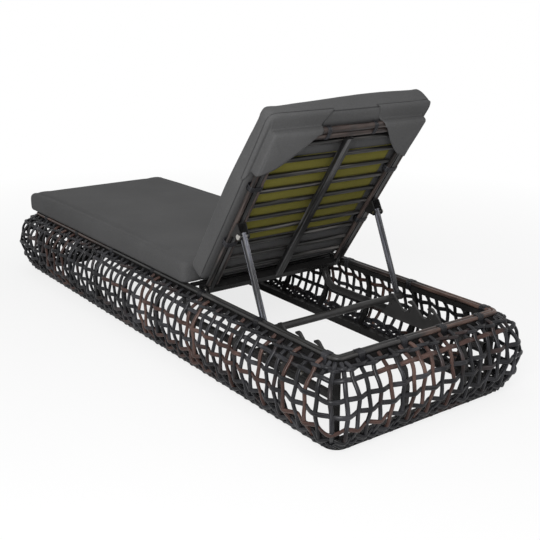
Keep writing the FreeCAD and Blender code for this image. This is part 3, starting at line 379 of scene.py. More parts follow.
def guides(name, lines):
    """One mesh of open lines. Each line is its points, how brown they are, and how its flat side faces."""
    mesh = bpy.data.meshes.new(name)
    points, edges, tints, leans = [], [], [], []
    for line, brown, faces in lines:
        start = len(points)
        points.extend(line)
        tints.extend(brown if isinstance(brown, list) else [brown] * len(line))
        leans.extend(faces)
        edges.extend((start + n, start + n + 1) for n in range(len(line) - 1))
    mesh.from_pydata(points, edges, [])
    mesh.attributes.new("tint", "FLOAT", "POINT").data.foreach_set("value", tints)
    flat = [part for lean in leans for part in lean]
    mesh.attributes.new("lean", "FLOAT_VECTOR", "POINT").data.foreach_set("vector", flat)
    return placed(name, mesh)


def grown(piece, tree, **values):
    """Run the tree on the piece, keep the result as its plain mesh and take the modifier off."""
    work = piece.modifiers.new("grow", "NODES")
    work.node_group = tree
    for item in tree.interface.items_tree:
        label = item.name.lower()
        if item.in_out == "INPUT" and label in values:
            work[item.identifier] = values[label]
    ready = piece.evaluated_get(bpy.context.evaluated_depsgraph_get())
    mesh = bpy.data.meshes.new_from_object(ready, preserve_all_data_layers=True,
                                           depsgraph=bpy.context.evaluated_depsgraph_get())
    piece.modifiers.remove(work)
    old = piece.data
    piece.data = mesh
    bpy.data.meshes.remove(old)
    return piece


def strands(name, body, slot, lines, finish, **values):
    """One piece of cane swept along lines, on the body that it moves with."""
    piece = grown(guides(name, lines), CANE_TREE, cane=finish, **values)
    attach(piece, body)
    return piece


# The woven shell: uprights numbered round a ring, from the left side's foot end by way of the head

RING, HALF_RING = 144, 72
SIDE_LAST, END_FIRST, END_LAST = 51, 54, 69          # half a ring: a side, two at a corner, an end, two more
CORNER_STEP = 30                                     # degrees between numbers round a corner
SIDE_REACH, END_REACH = 0.277, 0.945                 # middle of each corner's turn
SIDE_PITCH, END_PITCH = 2 * END_REACH / SIDE_LAST, 2 * SIDE_REACH / (END_LAST - END_FIRST)
CORNER = 0.030                                       # radius of the foot line there
FULLNESS = 3.6                                       # 2 would be a true arc
FULL_OUT = 0.04                                      # the bulge past which a corner is at its fullest
SHELL_MIDDLE = 0.006                                 # middle of the weave, out from the section's line
OVER = 0.0066                            # how far a weaver leaves the middle of the weave where it crosses
STIFF = 0.0030                           # how far an upright gives way there
CORNER_UPRIGHTS = {49: 49.3, 50: 50.35, 51: 51.38, 52: 52.3, 53: 53.2}       # where these really stand

# The section, out from the foot line and up, and the heights of the weavers, in millimetres
SHELL = ((-1, 230), (8, 227), (42.1, 188), (52, 144.4), (51, 100.3), (35.9, 54.1), (8, 16))
ROWS = (207, 165, 122, 80, 41)


def full_corner(angle):
    """The weave bulges fuller at a corner than a true arc."""
    return (abs(math.cos(angle)) ** FULLNESS + abs(math.sin(angle)) ** FULLNESS) ** (-1 / FULLNESS)


def plan(turn):
    """Where the shell's corner turns at that number, and which way is out, longer where it bulges fuller."""
    half, local = divmod(turn % RING, HALF_RING)
    side = -1 if half else 1
    if local <= SIDE_LAST:
        return Vector((SIDE_REACH, -END_REACH + SIDE_PITCH * local, 0)) * side, Vector((side, 0, 0))
    if END_FIRST <= local <= END_LAST:
        across = SIDE_REACH - END_PITCH * (local - END_FIRST)
        return Vector((across, END_REACH, 0)) * side, Vector((0, side, 0))
    near = local < END_FIRST
    degrees = CORNER_STEP * (local - SIDE_LAST) if near else 90 + CORNER_STEP * (local - END_LAST)
    angle = math.radians(degrees)
    return (Vector((SIDE_REACH if near else -SIDE_REACH, END_REACH, 0)) * side,
            Vector((math.cos(angle), math.sin(angle), 0)) * side * full_corner(angle))


def smooth_path(points, steps=12):
    """A dense smooth line through points of any size."""
    ends = [2 * points[0] - points[1], *points, 2 * points[-1] - points[-2]]
    line = []
    for before, here, there, after in zip(ends, ends[1:], ends[2:], ends[3:]):
        for n in range(steps):
            u = n / steps
            line.append(0.5 * (2 * here + (there - before) * u
                               + (2 * before - 5 * here + 4 * there - after) * u * u
                               + (3 * here - before - 3 * there + after) * u ** 3))
    return [*line, points[-1].copy()]


def shell_line():
    """The bulge from the rim down, each point with its outward lean: (out, up), (lean out, lean up)."""
    path = smooth_path([Vector((out, up)) * MM for out, up in SHELL])
    made = []
    for n, point in enumerate(path):
        slope = path[min(n + 1, len(path) - 1)] - path[max(n - 1, 0)]
        lean = Vector((-slope.y, slope.x)).normalized()
        made.append((point + lean * SHELL_MIDDLE, lean))
    return made


SHELL_LINE = shell_line()


def shell_at(share):
    """The bulge at a share of its line: 0 under the rim, 1 at the bottom rail."""
    place = min(max(share, 0.0), 1.0) * (len(SHELL_LINE) - 1)
    low = min(int(place), len(SHELL_LINE) - 2)
    mix = place - low
    (a, lean_a), (b, lean_b) = SHELL_LINE[low], SHELL_LINE[low + 1]
    return a.lerp(b, mix), lean_a.lerp(lean_b, mix).normalized()


def share_at_height(up):
    """The share of the shell's line at a height in millimetres."""
    best = min(range(len(SHELL_LINE)), key=lambda n: abs(SHELL_LINE[n][0].y - up * MM))
    return best / (len(SHELL_LINE) - 1)


ROW_SHARES = [share_at_height(up) for up in ROWS]
ROW_SWING = (0.0, 0.0, 0.002, 0.005, 0.008)          # how far the lower rows snake up and down
TWINED = share_at_height(226)                        # the pair of canes under the rim
LOW_TWINED = (0.9, 0.958)                            # the two pairs above the bottom rail
UPRIGHT_END = 0.985                                  # where the uprights end, on the bottom rail
RING_OVERLAP = 5                                     # points of a weaver's start that its end passes again


def on_shell(turn, share, lift):
    """A point of the shell lifted out of it by a distance, and the way out there."""
    middle, out = plan(turn)
    (reach, up), lean = shell_at(share)
    fuller = 1 + (out.length - 1) * min(max(reach / FULL_OUT, 0.0), 1.0)
    out.normalize()
    reach = (CORNER + reach) * fuller + lean.x * lift
    return middle + out * reach + Vector((0, 0, up + lean.y * lift)), out * lean.x + Vector((0, 0, lean.y))


def place_of(upright):
    """Where an upright stands in the ring. Those by a corner spread round it, the same way at all four."""
    half, local = divmod(upright, HALF_RING)
    if local in CORNER_UPRIGHTS:
        return half * HALF_RING + CORNER_UPRIGHTS[local]
    for end in (SIDE_LAST, HALF_RING + SIDE_LAST):
        if end - local in CORNER_UPRIGHTS:
            return half * HALF_RING + (end - CORNER_UPRIGHTS[end - local])
    return float(upright)


def stray(upright, row, seed):
    """A slow drift from strand to strand, between about -1 and 1."""
    return noise.noise(Vector((upright * 0.37 + seed, row * 0.55, seed * 1.7))) * 1.6


def faded(one, other):
    """How far a dark cane has turned brown there: mostly not, and never more than 0.45."""
    return min(max(noise.noise(Vector((one * 0.9, other, 8.0))) * 2.2 - 0.7, 0.0), 0.45)


# Canes that are brown throughout: uprights, those of the unseen sides by chance, and stretches of each row
BROWN_UPRIGHTS = {6, 8, 10, 27, 28, 35, 36, 41, 45, 48, 50, 57, 59, 60, 61, 63}
BROWN_UPRIGHTS |= {n for n in range(70, RING) if noise.noise(Vector((n * 0.9, 4.0, 0))) > 0.3}
BROWN_ROWS = (((56, 68), (96, 104)), ((20, 24), (28, 42), (84, 90)), ((38, 46), (118, 126)),
              ((29, 36), (48, 56), (100, 112)), ((8, 14), (30, 38), (76, 82)))

SIDES = {"left": range(0, SIDE_LAST + 1), "head": range(END_FIRST, END_LAST + 1),
         "right": range(HALF_RING, HALF_RING + SIDE_LAST + 1),
         "foot": range(HALF_RING + END_FIRST, HALF_RING + END_LAST + 1),
         "corner": (52, 53, 70, 71, 124, 125, 142, 143)}
SWAY, END_SWAY = 0.15, 0.03              # how far an upright strays between its ends, and at them


def upright_line(upright):
    """One upright, from behind the rim's tube down to the bottom rail, in front of and behind the rows."""
    side = 1 if upright % 2 else -1
    shares = [TWINED, *ROW_SHARES, UPRIGHT_END]
    marks = [(0.0, 0.0)]
    for row, share in enumerate(shares):
        marks.append((share, side * (1 if row % 2 else -1)))
        if row + 1 < len(shares):
            marks.append(((share + shares[row + 1]) / 2, 0.0))
    points, leans = [], []
    for n, (share, over) in enumerate(marks):
        drift = stray(upright, n * 0.4, seed=5.0) * (SWAY if 0 < n < len(marks) - 1 else END_SWAY)
        point, lean = on_shell(place_of(upright) + drift, share, over * STIFF)
        points.append(point)
        leans.append(lean)
    if upright in BROWN_UPRIGHTS:
        return points, 1.0, leans
    return points, [faded(upright, n * 0.3) for n in range(len(points))], leans


def ring_line(share, parity, seed, wave, swing=0.0, brown=()):
    """One weaver right round the shell, in front of every other upright."""
    points, tints, leans = [], [], []
    for step in range(2 * RING + RING_OVERLAP):
        once_round = step % (2 * RING)
        upright, between = divmod(once_round, 2)
        here = place_of(upright)
        front = (-1 if upright % 2 else 1) * parity
        drift = stray(once_round / 4, share * 30, seed) * wave
        if between:
            there = place_of((upright + 1) % RING)
            here = (here + (there if there > here else there + RING)) / 2
        else:
            drift += swing * front
        point, lean = on_shell(here, share + drift, 0.0 if between else front * OVER)
        points.append(point)
        leans.append(lean)
        known = any(low <= upright <= high for low, high in brown)
        tints.append(1.0 if known else faded(once_round * 0.11, share * 9))
    return points, tints, leans


def twined_pair(share, apart, seed, wave):
    """Two weavers that cross in front of and behind each upright."""
    return [ring_line(share + apart * turn, turn, seed, wave, swing=0.014) for turn in (1, -1)]


for side, numbers in SIDES.items():
    piece = strands("weave_uprights_" + side, "base", "rattan", [upright_line(n) for n in numbers],
                    round_cane, thickness=0.0125, flatness=0.78, seed=2.0, sides=10)
    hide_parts(side + "_uprights")

row_lines = [ring_line(share, 1 if row % 2 else -1, seed=11.0, wave=0.009,
                       swing=ROW_SWING[row], brown=BROWN_ROWS[row])
             for row, share in enumerate(ROW_SHARES)]
rows = strands("weave_rows", "base", "rattan", row_lines, round_cane,
               thickness=0.0135, flatness=0.68, seed=7.0, sides=10)
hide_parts(*(side + "_rows" for side in SIDES))

edge_lines = twined_pair(TWINED, apart=0.009, seed=23.0, wave=0.003)
for share in LOW_TWINED:
    edge_lines += twined_pair(share, apart=0.008, seed=31.0, wave=0.004)
strands("weave_edges", "base", "rattan", edge_lines, round_cane,
        thickness=0.0105, flatness=0.76, seed=9.0)


# Bindings of rim and backrest

UP, ACROSS, ENDWAYS = Vector((0, 0, 1)), Vector((1, 0, 0)), Vector((0, 1, 0))
RISE = Vector((0, math.cos(TILT), math.sin(TILT)))       # up the backrest
BEHIND = Vector((0, -math.sin(TILT), math.cos(TILT)))    # towards the cushion
HINGE = Vector((0, 303 * MM, 242 * MM))
RIM_SIDE, RIM_END, RIM_HEIGHT = 294 * MM, 962 * MM, 236.5 * MM      # middle of the sticks that a coil holds
PROUD, TUCK = 0.0006, 0.001              # how far a binding stands off its sticks, and its ends go in
SIDE_BINDINGS, BINDING_START, BINDING_STEP = 7, 2.5, 8              # counted in gaps between uprights
END_BINDINGS = (-222 * MM, -74 * MM, 74 * MM, 222 * MM)
RIM_TURNS, SIDE_TURNS, TOP_TURNS = 6.3, 5.3, 3.3
BACK_SIDE_BINDINGS, TOP_BINDING = (253, (216.3, 440.7)), (85, 619)  # across the back, and up from the hinge


def on_back(x, up, lift):
    """A point of the raised backrest, in millimetres: across, up from the hinge, and towards the cushion."""
    return HINGE + ACROSS * (x * MM) + RISE * (up * MM) + BEHIND * (lift * MM)


def hoop(wide, tall, corner):
    """Twelve points round a rounded box of a size in millimetres, each with the way out of it there."""
    wide, tall, corner = wide * MM, tall * MM, corner * MM
    points = []
    for side in range(4):
        signs = (1 if side in (0, 3) else -1, 1 if side in (0, 1) else -1)
        inner = Vector((signs[0] * (wide / 2 - corner), signs[1] * (tall / 2 - corner)))
        for degrees in (0, 45, 90):
            angle = math.radians(90 * side + degrees)
            out = Vector((math.cos(angle), math.sin(angle)))
            points.append((inner + out * corner, out))
    return points


def coil(centre, along, across, up, ring, turns, length):
    """A cane wound tight round a box of sticks, its ends tucked in. Its length is in millimetres."""
    points, leans = [], []
    steps = int(turns * len(ring))
    for step in range(steps + 1):
        (wide, tall), out = ring[step % len(ring)]
        lift = PROUD if 0 < step < steps else -TUCK
        slide = (step / steps - 0.5) * (length * MM)
        way = across * out.x + up * out.y
        points.append(centre + along * slide + across * wide + up * tall + way * lift)
        leans.append(way)
    return points, 0.0, leans


def rim_coils():
    """Bindings of six turns round the rim's tube and its two poles: seven on each side, four at each end."""
    ring = hoop(26, 29, 6)
    lines = []
    for side in (1, -1):
        for n in range(SIDE_BINDINGS):
            gap = BINDING_START + BINDING_STEP * n
            place = Vector((RIM_SIDE * side, -END_REACH + SIDE_PITCH * gap, RIM_HEIGHT))
            lines.append(coil(place, ENDWAYS, ACROSS * side, UP, ring, RIM_TURNS, 22))
        for x in END_BINDINGS:
            place = Vector((x, RIM_END * side, RIM_HEIGHT))
            lines.append(coil(place, ACROSS, ENDWAYS * side, UP, ring, RIM_TURNS, 22))
    return lines


def back_coils():
    """Bindings of the side rails with their poles, and two thin rings round the top poles."""
    side_ring, top_ring = hoop(42, 22, 7), hoop(40, 20, 9)
    rail, places = BACK_SIDE_BINDINGS
    lines = [coil(on_back(rail * side, up, 0), RISE, ACROSS, BEHIND, side_ring, SIDE_TURNS, 18)
             for side in (1, -1) for up in places]
    x, up = TOP_BINDING
    return lines + [coil(on_back(x * side, up, 0), ACROSS, RISE, BEHIND, top_ring, TOP_TURNS, 14)
                    for side in (1, -1)]


coils = strands("rim_bindings", "base", "rattan", rim_coils(), round_cane,
                thickness=0.0044, flatness=0.6, spacing=0.005, wander=0.0002, sides=6)
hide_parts("rim_lashings")
coils = strands("back_bindings", "backrest", "rattan", back_coils(), round_cane,
                thickness=0.0046, flatness=0.62, spacing=0.005, wander=0.0002, sides=6)
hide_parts("back_lashings")


# Cushions

SEAT = (314 * MM, -1004 * MM, 252 * MM, 253.1 * MM, 320.1 * MM)     # half its width, ends, underside and top
BACK = (296 * MM, 32 * MM, 687 * MM, 13.3 * MM, 77.3 * MM)          # the same, from the hinge up the back
QUARTERS = ((1, 1), (-1, 1), (-1, -1), (1, -1))
CUSHION_CORNER, LEAST_CORNER = 15 * MM, 5 * MM
DRAWN_IN = 2 * MM                        # how far a side pulls in between its corners
SOFT_EDGE = 13 * MM                      # radius of a cushion's upper edge
PUFF_FRAMES, PUFF_LIMIT, CROWN = 20, 16 * MM, 10 * MM
SEAM_INSET, SEAT_SEAM, BACK_SEAM = 6 * MM, 258 * MM, 18 * MM        # in from the outline, and how high
SLUMP, SLUMP_SIDE, SLUMP_UP = 20 * MM, -150 * MM, 350 * MM          # its depth, and from where it starts


def mesh_piece(name, points, faces, finish):
    """A new piece from points and faces, with its finish."""
    mesh = bpy.data.meshes.new(name)
    mesh.from_pydata([tuple(point) for point in points], [], faces)
    mesh.materials.append(finish)
    return placed(name, mesh)


def applied(piece):
    """Bake the piece's modifiers into its mesh."""
    ready = piece.evaluated_get(bpy.context.evaluated_depsgraph_get())
    mesh = bpy.data.meshes.new_from_object(ready)
    piece.modifiers.clear()
    piece.data = mesh
    for face in mesh.polygons:
        face.use_smooth = True
    return piece


def cushion_outline(half, low, high, inset):
    """A cushion seen from above: rounded corners, and sides that pull in between them."""
    half, low, high = half - inset, low + inset, high - inset
    corner = max(CUSHION_CORNER - inset, LEAST_CORNER)
    middle, reach = (low + high) / 2, (high - low) / 2

    def on_corner(quarter, degrees):
        sign_x, sign_y = QUARTERS[quarter % 4]
        angle = math.radians(degrees)
        return Vector((sign_x * (half - corner) + corner * math.cos(angle),
                       middle + sign_y * (reach - corner) + corner * math.sin(angle)))

    line = []
    for quarter in range(4):
        line += [on_corner(quarter, 90 * quarter + 15 * step) for step in range(7)]
        square = math.radians(90 * (quarter + 1))
        start, end = line[-1], on_corner(quarter + 1, 90 * (quarter + 1))
        inward = -Vector((math.cos(square), math.sin(square)))
        for step in range(1, 24):
            share = step / 24
            line.append(start.lerp(end, share) + inward * DRAWN_IN * math.sin(math.pi * share))
    return line


def foam(name, half, low, high, floor, top, finish):
    """A foam block with soft edges, the lower ones sharper, ready to be puffed up."""
    lower = 0.3 * SOFT_EDGE
    turns = [math.radians(degrees) for degrees in (0, 30, 60, 90)]
    rings = [(lower * (1 - math.sin(turn)), floor + lower * (1 - math.cos(turn))) for turn in turns]
    rings += [(SOFT_EDGE * (1 - math.cos(turn)), top - SOFT_EDGE * (1 - math.sin(turn))) for turn in turns]
    points, faces = [], []
    for inset, height in rings:
        points.extend((p.x, p.y, height) for p in cushion_outline(half, low, high, inset))
    count = len(points) // len(rings)
    for first in range(0, count * (len(rings) - 1), count):
        for n in range(count):
            after = (n + 1) % count
            faces.append((first + n, first + after, first + count + after, first + count + n))
    faces.append(tuple(reversed(range(count))))
    faces.append(tuple(range((len(rings) - 1) * count, len(rings) * count)))
    piece = mesh_piece(name, points, faces, finish)
    even = piece.modifiers.new("even", "REMESH")
    even.mode = "VOXEL"
    even.voxel_size = 8 * MM
    return applied(piece)


def puffed(piece, lowest, highest):
    """Blow the cover up like a stuffed cushion, and hold it inside its box."""
    start = [vertex.co.copy() for vertex in piece.data.vertices]
    air = piece.modifiers.new("stuffing", "CLOTH")
    air.settings.use_pressure = True
    air.settings.uniform_pressure_force = 4
    air.settings.quality = 5
    air.settings.effector_weights.gravity = 0
    air.point_cache.frame_start, air.point_cache.frame_end = 1, PUFF_FRAMES
    scene = bpy.context.scene
    for step in range(1, PUFF_FRAMES + 1):
        scene.frame_set(step)
    ready = piece.evaluated_get(bpy.context.evaluated_depsgraph_get())
    ends = [vertex.co.copy() for vertex in ready.data.vertices]
    piece.modifiers.clear()
    scene.frame_set(1)
    outs = [vertex.normal.copy() for vertex in piece.data.vertices]
    for vertex, before, after, out in zip(piece.data.vertices, start, ends, outs):
        push = after - before
        push -= out * min(push.dot(out), 0.0)
        if push.length > PUFF_LIMIT:
            push *= PUFF_LIMIT / push.length
        place = before + push
        vertex.co = [min(max(place[n], lowest[n]), highest[n]) for n in range(3)]


def cushion(name, block, settle, body):
    """One box cushion: its puffed cover, smoothed and taken to where it lies."""
    half, low, high, floor, top = block
    piece = foam(name, *block, grey_cloth)
    puffed(piece, (-half, low, floor), (half, high, top + CROWN))
    calm = piece.modifiers.new("calm", "SMOOTH")
    calm.factor, calm.iterations = 0.5, 2
    fine = piece.modifiers.new("fine", "SUBSURF")
    fine.levels = fine.render_levels = 1
    applied(piece)
    for vertex in piece.data.vertices:
        vertex.co = settle(vertex.co)
    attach(piece, body)
    return piece


def skin(piece):
    """The piece's surface, to be searched for its nearest place."""
    return BVHTree.FromPolygons([vertex.co for vertex in piece.data.vertices],
                                [face.vertices for face in piece.data.polygons])


def seam(name, cover, points, body, wide=0.0034):
    """A sewn edge that lies on the cover and follows the points. Its cloth is darker than the cover, painted
    shade along the seam.
    """
    line, leans = [], []
    for point in points:
        place, out, _, _ = cover.find_nearest(point)
        line.append(place + out * 0.0002)
        leans.append(out)
    piece = grown(guides(name, [(line, 0.0, leans)]), CANE_TREE, cane=seam_cloth_painted_shade, thickness=wide,
                  flatness=0.6, spacing=0.012, wander=0.0, sides=6)
    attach(piece, body)


def seam_round(block, height):
    """Points right round a cushion at a height, the first two again at the end."""
    line = [Vector((p.x, p.y, height)) for p in cushion_outline(*block[:3], SEAM_INSET)]
    return [*line, line[0], line[1]]


def as_it_lies(point):
    """The seat cushion's points need no move."""
    return Vector(point)


def eased(value, low, high):
    """How far a value has gone from low to high, with a soft start and end."""
    share = min(max((value - low) / (high - low), 0.0), 1.0)
    return share * share * (3 - 2 * share)


def on_the_back(point):
    """A cushion's point on the raised backrest. Its front top corner has slumped on one side."""
    across, up, lift = point
    half, _, end, under, top = BACK
    slump = SLUMP * eased(across, SLUMP_SIDE, half) * (0.15 + 0.85 * eased(up, SLUMP_UP, end))
    lift -= slump * eased(lift, under, top)
    return HINGE + ACROSS * across + RISE * up + BEHIND * lift


seat = cushion("seat_pad", SEAT, as_it_lies, "base")
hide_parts("seat_cushion")
back = cushion("back_pad", BACK, on_the_back, "backrest")
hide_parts("back_cushion")
back_skin = skin(back)
seam("seat_pad_seam", skin(seat), seam_round(SEAT, SEAT_SEAM), "base")
seam("back_pad_seam", back_skin, [on_the_back(p) for p in seam_round(BACK, BACK_SEAM)], "backrest")


# Corner pockets, olive panel and the strip between the cushions

def cloth_grid(name, rows_of_points, finish, thick):
    """A sheet through rows of points, with a real thickness in millimetres."""
    wide = len(rows_of_points[0])
    points = [point for row in rows_of_points for point in row]
    faces = [(r * wide + c, r * wide + c + 1, (r + 1) * wide + c + 1, (r + 1) * wide + c)
             for r in range(len(rows_of_points) - 1) for c in range(wide - 1)]
    piece = mesh_piece(name, points, faces, finish)
    wall = piece.modifiers.new("wall", "SOLIDIFY")
    wall.thickness = thick * MM
    wall.offset = 0
    return applied(piece)


def along_path(points, share):
    """A place on a path of points by its share of the points."""
    place = share * (len(points) - 1)
    low = min(int(place), len(points) - 2)
    return points[low].lerp(points[low + 1], place - low)


def corner_path(top, turn, side, radius):
    """Two straight legs with a round turn, as 49 points: from the top leg's end to the side leg's end."""
    start, turn, end = Vector(top), Vector(turn), Vector(side)
    first, last = turn + (start - turn).normalized() * radius, turn + (end - turn).normalized() * radius
    line = [start.lerp(first, n / 20) for n in range(20)]
    for n in range(9):
        u = n / 8
        line.append(first * (1 - u) ** 2 + turn * 2 * u * (1 - u) + last * u * u)
    return line + [last.lerp(end, n / 20) for n in range(1, 21)]


# Where the left pocket's cloth runs, in millimetres: out from the middle, up from the hinge, towards the
# cushion. From the seam it goes in under the cushion, over the frame's shoulder, down the frame's side and
# round to its back. Each line goes from the pocket's top end round the corner to its side end.
POCKET_SEAM = corner_path((78, 687, 20), (296, 687, 20), (296, 456, 20), 26)
POCKET_UNDER = corner_path((88, 678, 12.6), (289, 678, 12.6), (289, 466, 12.6), 24)
POCKET_SHOULDER = corner_path((103, 642, 11.7), (277.8, 642, 11.7), (277.8, 488, 11.7), 13)
POCKET_WALL = corner_path((109, 640.6, -1), (276.2, 640.6, -1), (276.2, 491, -1), 9)
POCKET_TURN = corner_path((112, 638.5, -10.5), (275, 638.5, -10.5), (275, 493, -9.5), 8)
POCKET_FLAT = corner_path((116, 629, -14.7), (268.5, 629, -14.7), (269, 496, -12.8), 8)
POCKET_LINES = (POCKET_SEAM, POCKET_UNDER, POCKET_SHOULDER, POCKET_WALL, POCKET_TURN, POCKET_FLAT)
POCKET_EDGE = smooth_path([Vector(point) for point in
                           ((118, 634, -13.5), (142, 603, -15), (173, 565, -15), (221, 519, -14.8),
                            (260, 500, -13.8), (271, 495, -12))])
BACK_OF_FRAME = -10                      # cloth lower than this lies loose on the frame's back
SAG, FOLD, LOOSE, DART = 1.6, 0.9, 0.9, 1.5          # how deep each is, in millimetres
POCKET_STEPS, POCKET_SEAM_LIFT = 60, 21.5


def bell(value, middle, wide):
    """1 at the middle, and falling away to 0 on both sides."""
    return math.exp(-((value - middle) / wide) ** 2)


def pocket_row(side, share):
    """The cloth's line from the seam to the free edge, at a share of the way round the corner."""
    over = [along_path(path, share) for path in POCKET_LINES]
    edge = along_path(POCKET_EDGE, share)
    sag = over[-1].lerp(edge, 0.5)
    sag.z -= SAG * math.sin(math.pi * share) - FOLD * bell(share, 0.5, 0.035)
    row = smooth_path([*over, sag, edge], 6)
    made = []
    for n, point in enumerate(row):
        ripple = noise.noise(Vector((point.x * 0.018, point.y * 0.018, side * 3.0)))
        loose = LOOSE * ripple * math.sin(math.pi * n / (len(row) - 1)) * (point.z < BACK_OF_FRAME)
        dart = DART * bell(share, 0.485, 0.012) * bell(n, 10, 6)
        made.append(on_back(side * point.x, point.y, point.z + loose - dart))
    made[0] = back_skin.find_nearest(made[0])[0]
    return made if side > 0 else made[::-1]


def pocket(side):
    """The corner pocket that holds the cushion on the frame, sewn to its rear edge, its free edge curved."""
    name = "left" if side > 0 else "right"
    rows_of_points = [pocket_row(side, step / POCKET_STEPS) for step in range(POCKET_STEPS + 1)]
    piece = cloth_grid("corner_pocket_" + name, rows_of_points, grey_cloth, 1.3)
    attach(piece, "backrest")
    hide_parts("pocket_" + name)
    seam("pocket_seam_" + name, back_skin,
         [on_back(side * x, up, POCKET_SEAM_LIFT) for x, up, _ in POCKET_SEAM], "backrest", wide=0.0026)
    return piece


for side in (1, -1):
    piece = pocket(side)

PANEL_HALF, PANEL_LOW, PANEL_HIGH = 222, 197, 529
PANEL_LIFT, HEM, HEM_STEP = 12.3, 14, 0.35


def panel():
    """The olive cloth under the cushion, a little loose between the rods, with a sewn hem."""
    rows_of_points = []
    for x in range(-PANEL_HALF, PANEL_HALF + 1, 6):
        line = []
        for up in range(PANEL_LOW, PANEL_HIGH + 1, 4):
            sag = 0.5 * noise.noise(Vector((x * 0.012, up * 0.02, 2.0)))
            hem = -HEM_STEP if min(PANEL_HALF - abs(x), up - PANEL_LOW, PANEL_HIGH - up) < HEM else 0.0
            line.append(on_back(x, up, PANEL_LIFT + sag * 0.6 + hem))
        rows_of_points.append(line)
    piece = cloth_grid("olive_panel", rows_of_points, olive_cloth, 0.7)
    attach(piece, "backrest")
    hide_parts("cushion_panel")


panel()

STRIP_HALF = 250
STRIP_FOLD = ((246, 254.6), (254, 255.5), (270, 266), (286, 279), (297, 282), (305, 278), (313.5, 280.5))


def hinge_cloth():
    """The strip that joins the two cushions, shaped as the fold it makes between them with the backrest
    raised.
    """
    path = smooth_path([Vector(point) for point in STRIP_FOLD], 6)
    rows_of_points = []
    for x in range(-STRIP_HALF, STRIP_HALF + 1, 10):
        line = []
        for n, (y, z) in enumerate(path):
            ripple = 1.5 * noise.noise(Vector((x * 0.02, n * 0.2, 5.0)))
            soft = ripple * math.sin(math.pi * n / (len(path) - 1))
            line.append(Vector((x, y, z + soft)) * MM)
        rows_of_points.append(line[::-1])
    piece = cloth_grid("cushion_strip", rows_of_points, grey_cloth, 1.2)
    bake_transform(piece)
    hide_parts("cushion_hinge")


hinge_cloth()


# Finishes of the pieces carried over from the frame

CARRIED_OVER = (
    (frame_paint, ("bottom_rail_head", "bottom_rail_foot", "bottom_rail_left", "bottom_rail_right",
                   "bottom_corners", "corner_posts", "hinge_beam", "seat_strut", "seat_slats",
                   "hinge_brackets", "back_bottom_rail", "prop_brackets", "rim_left", "rim_right",
                   "rim_head", "rim_foot", "rim_corners", "ribs_left", "ribs_right", "ribs_ends")),
    # Rods, strut, back rails and prop legs get the finishes with painted highlight lines.
    (rod_paint_painted_highlights, ("back_rods",)),
    (strut_paint_painted_highlights, ("back_strut", "back_rail_left", "back_rail_right")),
    (prop_paint_painted_highlights, ("prop_leg_left", "prop_leg_right")),
    (rack_paint, ("rack_left", "rack_right", "rack_rail_left", "rack_rail_right", "crossbar")),
    (cap_plastic, ("crossbar_caps",)),
    (bolt_metal, ("prop_pins", "rack_bolts", "hinge_pins")),
    (rim_cane, ("rim_poles_left", "rim_poles_right")),
    (rim_end_cane, ("rim_poles_head", "rim_poles_foot")),
    (back_cane, ("back_poles_left", "back_poles_right")),
    (top_cane, ("back_top_poles",)))

for finish, names in CARRIED_OVER:
    for name in names:
        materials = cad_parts[name].data.materials
        materials.clear()
        materials.append(finish)


# Room, light and camera

FLOOR_HALF = 14
FLOOR_WHITE = 0.95
GLOW_FROM, GLOW_TO, LEAST_GLOW = 1.2, 3.0, 0.79      # metres from the middle, and the share of white there
SKY_LEVEL, SKY_TOP, SKY_RISE = 0.25, 0.55, 0.9       # at the horizon, at the top, and how high it grows
WHITE = (1, 1, 1, 1)


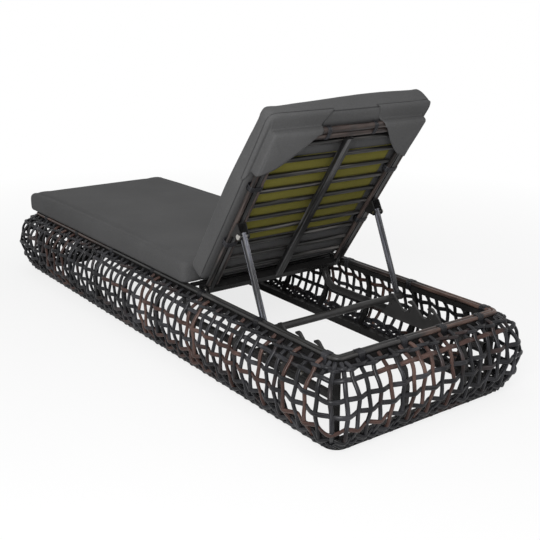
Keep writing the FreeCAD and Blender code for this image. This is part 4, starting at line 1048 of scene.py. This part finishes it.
def room():
    """A white floor that the camera sees fade into the background, with the lounger's shadow on it."""
    mesh = bpy.data.meshes.new("floor")
    corners = [(FLOOR_HALF * x, FLOOR_HALF * y, 0) for x, y in ((-1, -1), (1, -1), (1, 1), (-1, 1))]
    mesh.from_pydata(corners, [], [(0, 1, 2, 3)])
    floor = placed("floor", mesh)
    finish, tree, shader = shade("floor")
    shader.inputs["Base Color"].default_value = (FLOOR_WHITE, FLOOR_WHITE, FLOOR_WHITE, 1)
    shader.inputs["Roughness"].default_value = 0.9
    far = add(tree, "ShaderNodeVectorMath", {0: on_body(tree)}, operation="LENGTH").outputs["Value"]
    edge = remapped(tree, far, GLOW_FROM, GLOW_TO, LEAST_GLOW)
    rays = add(tree, "ShaderNodeLightPath").outputs
    both = maths(tree, "MULTIPLY", edge, rays["Is Camera Ray"])
    glow = add(tree, "ShaderNodeEmission", {"Color": WHITE, "Strength": 1.0}).outputs[0]
    mix = add(tree, "ShaderNodeMixShader", {0: both, 1: shader.outputs[0], 2: glow})
    tree.links.new(mix.outputs[0], tree.nodes["Material Output"].inputs["Surface"])
    mesh.materials.append(finish)


def sky():
    """A plain soft sky, which shows as white to the camera and in what reflects or lets light through."""
    world = bpy.data.worlds.new("studio")
    bpy.context.scene.world = world
    world.use_nodes = True
    tree = world.node_tree
    rays = add(tree, "ShaderNodeLightPath").outputs
    seen = maths(tree, "MAXIMUM", rays["Is Camera Ray"], rays["Is Glossy Ray"])
    seen = maths(tree, "MAXIMUM", seen, rays["Is Transmission Ray"])
    way = add(tree, "ShaderNodeTexCoord").outputs["Generated"]
    up = add(tree, "ShaderNodeSeparateXYZ", {0: way}).outputs[2]
    above = remapped(tree, up, 0.0, SKY_RISE, SKY_LEVEL, SKY_TOP)
    background = tree.nodes["Background"]
    background.inputs["Color"].default_value = WHITE
    tree.links.new(spread(tree, seen, above, 1.0), background.inputs["Strength"])


def aimed(thing, place, way):
    """Put a lamp or the camera at a place, looking a way."""
    thing.location = place
    thing.rotation_euler = way.to_track_quat("-Z", "Y").to_euler()
    bpy.context.scene.collection.objects.link(thing)


def lamp(name, place, target, size, power):
    """A soft square lamp that points at its target."""
    data = bpy.data.lights.new(name, "AREA")
    data.shape = "SQUARE"
    data.size = size
    data.energy = power
    aimed(bpy.data.objects.new(name, data), place, Vector(target) - Vector(place))


def viewer(place, way, lens):
    """The camera, where the photograph was taken from."""
    data = bpy.data.cameras.new("camera")
    data.sensor_width = 36
    data.lens = lens
    camera = bpy.data.objects.new("camera", data)
    aimed(camera, place, way)
    bpy.context.scene.camera = camera


room()
sky()
lamp("overhead", (0.2, 0.4, 3.4), (0, 0, 0.2), size=1.3, power=7)
lamp("front", (2.1, 2.6, 1.9), (0, 0.3, 0.3), size=1.5, power=77)
viewer(Vector((1.6060, 2.4834, 1.0962)), Vector((-0.5621, -0.7723, -0.2960)), lens=58.25)
bpy.context.scene.view_settings.view_transform = "Standard"
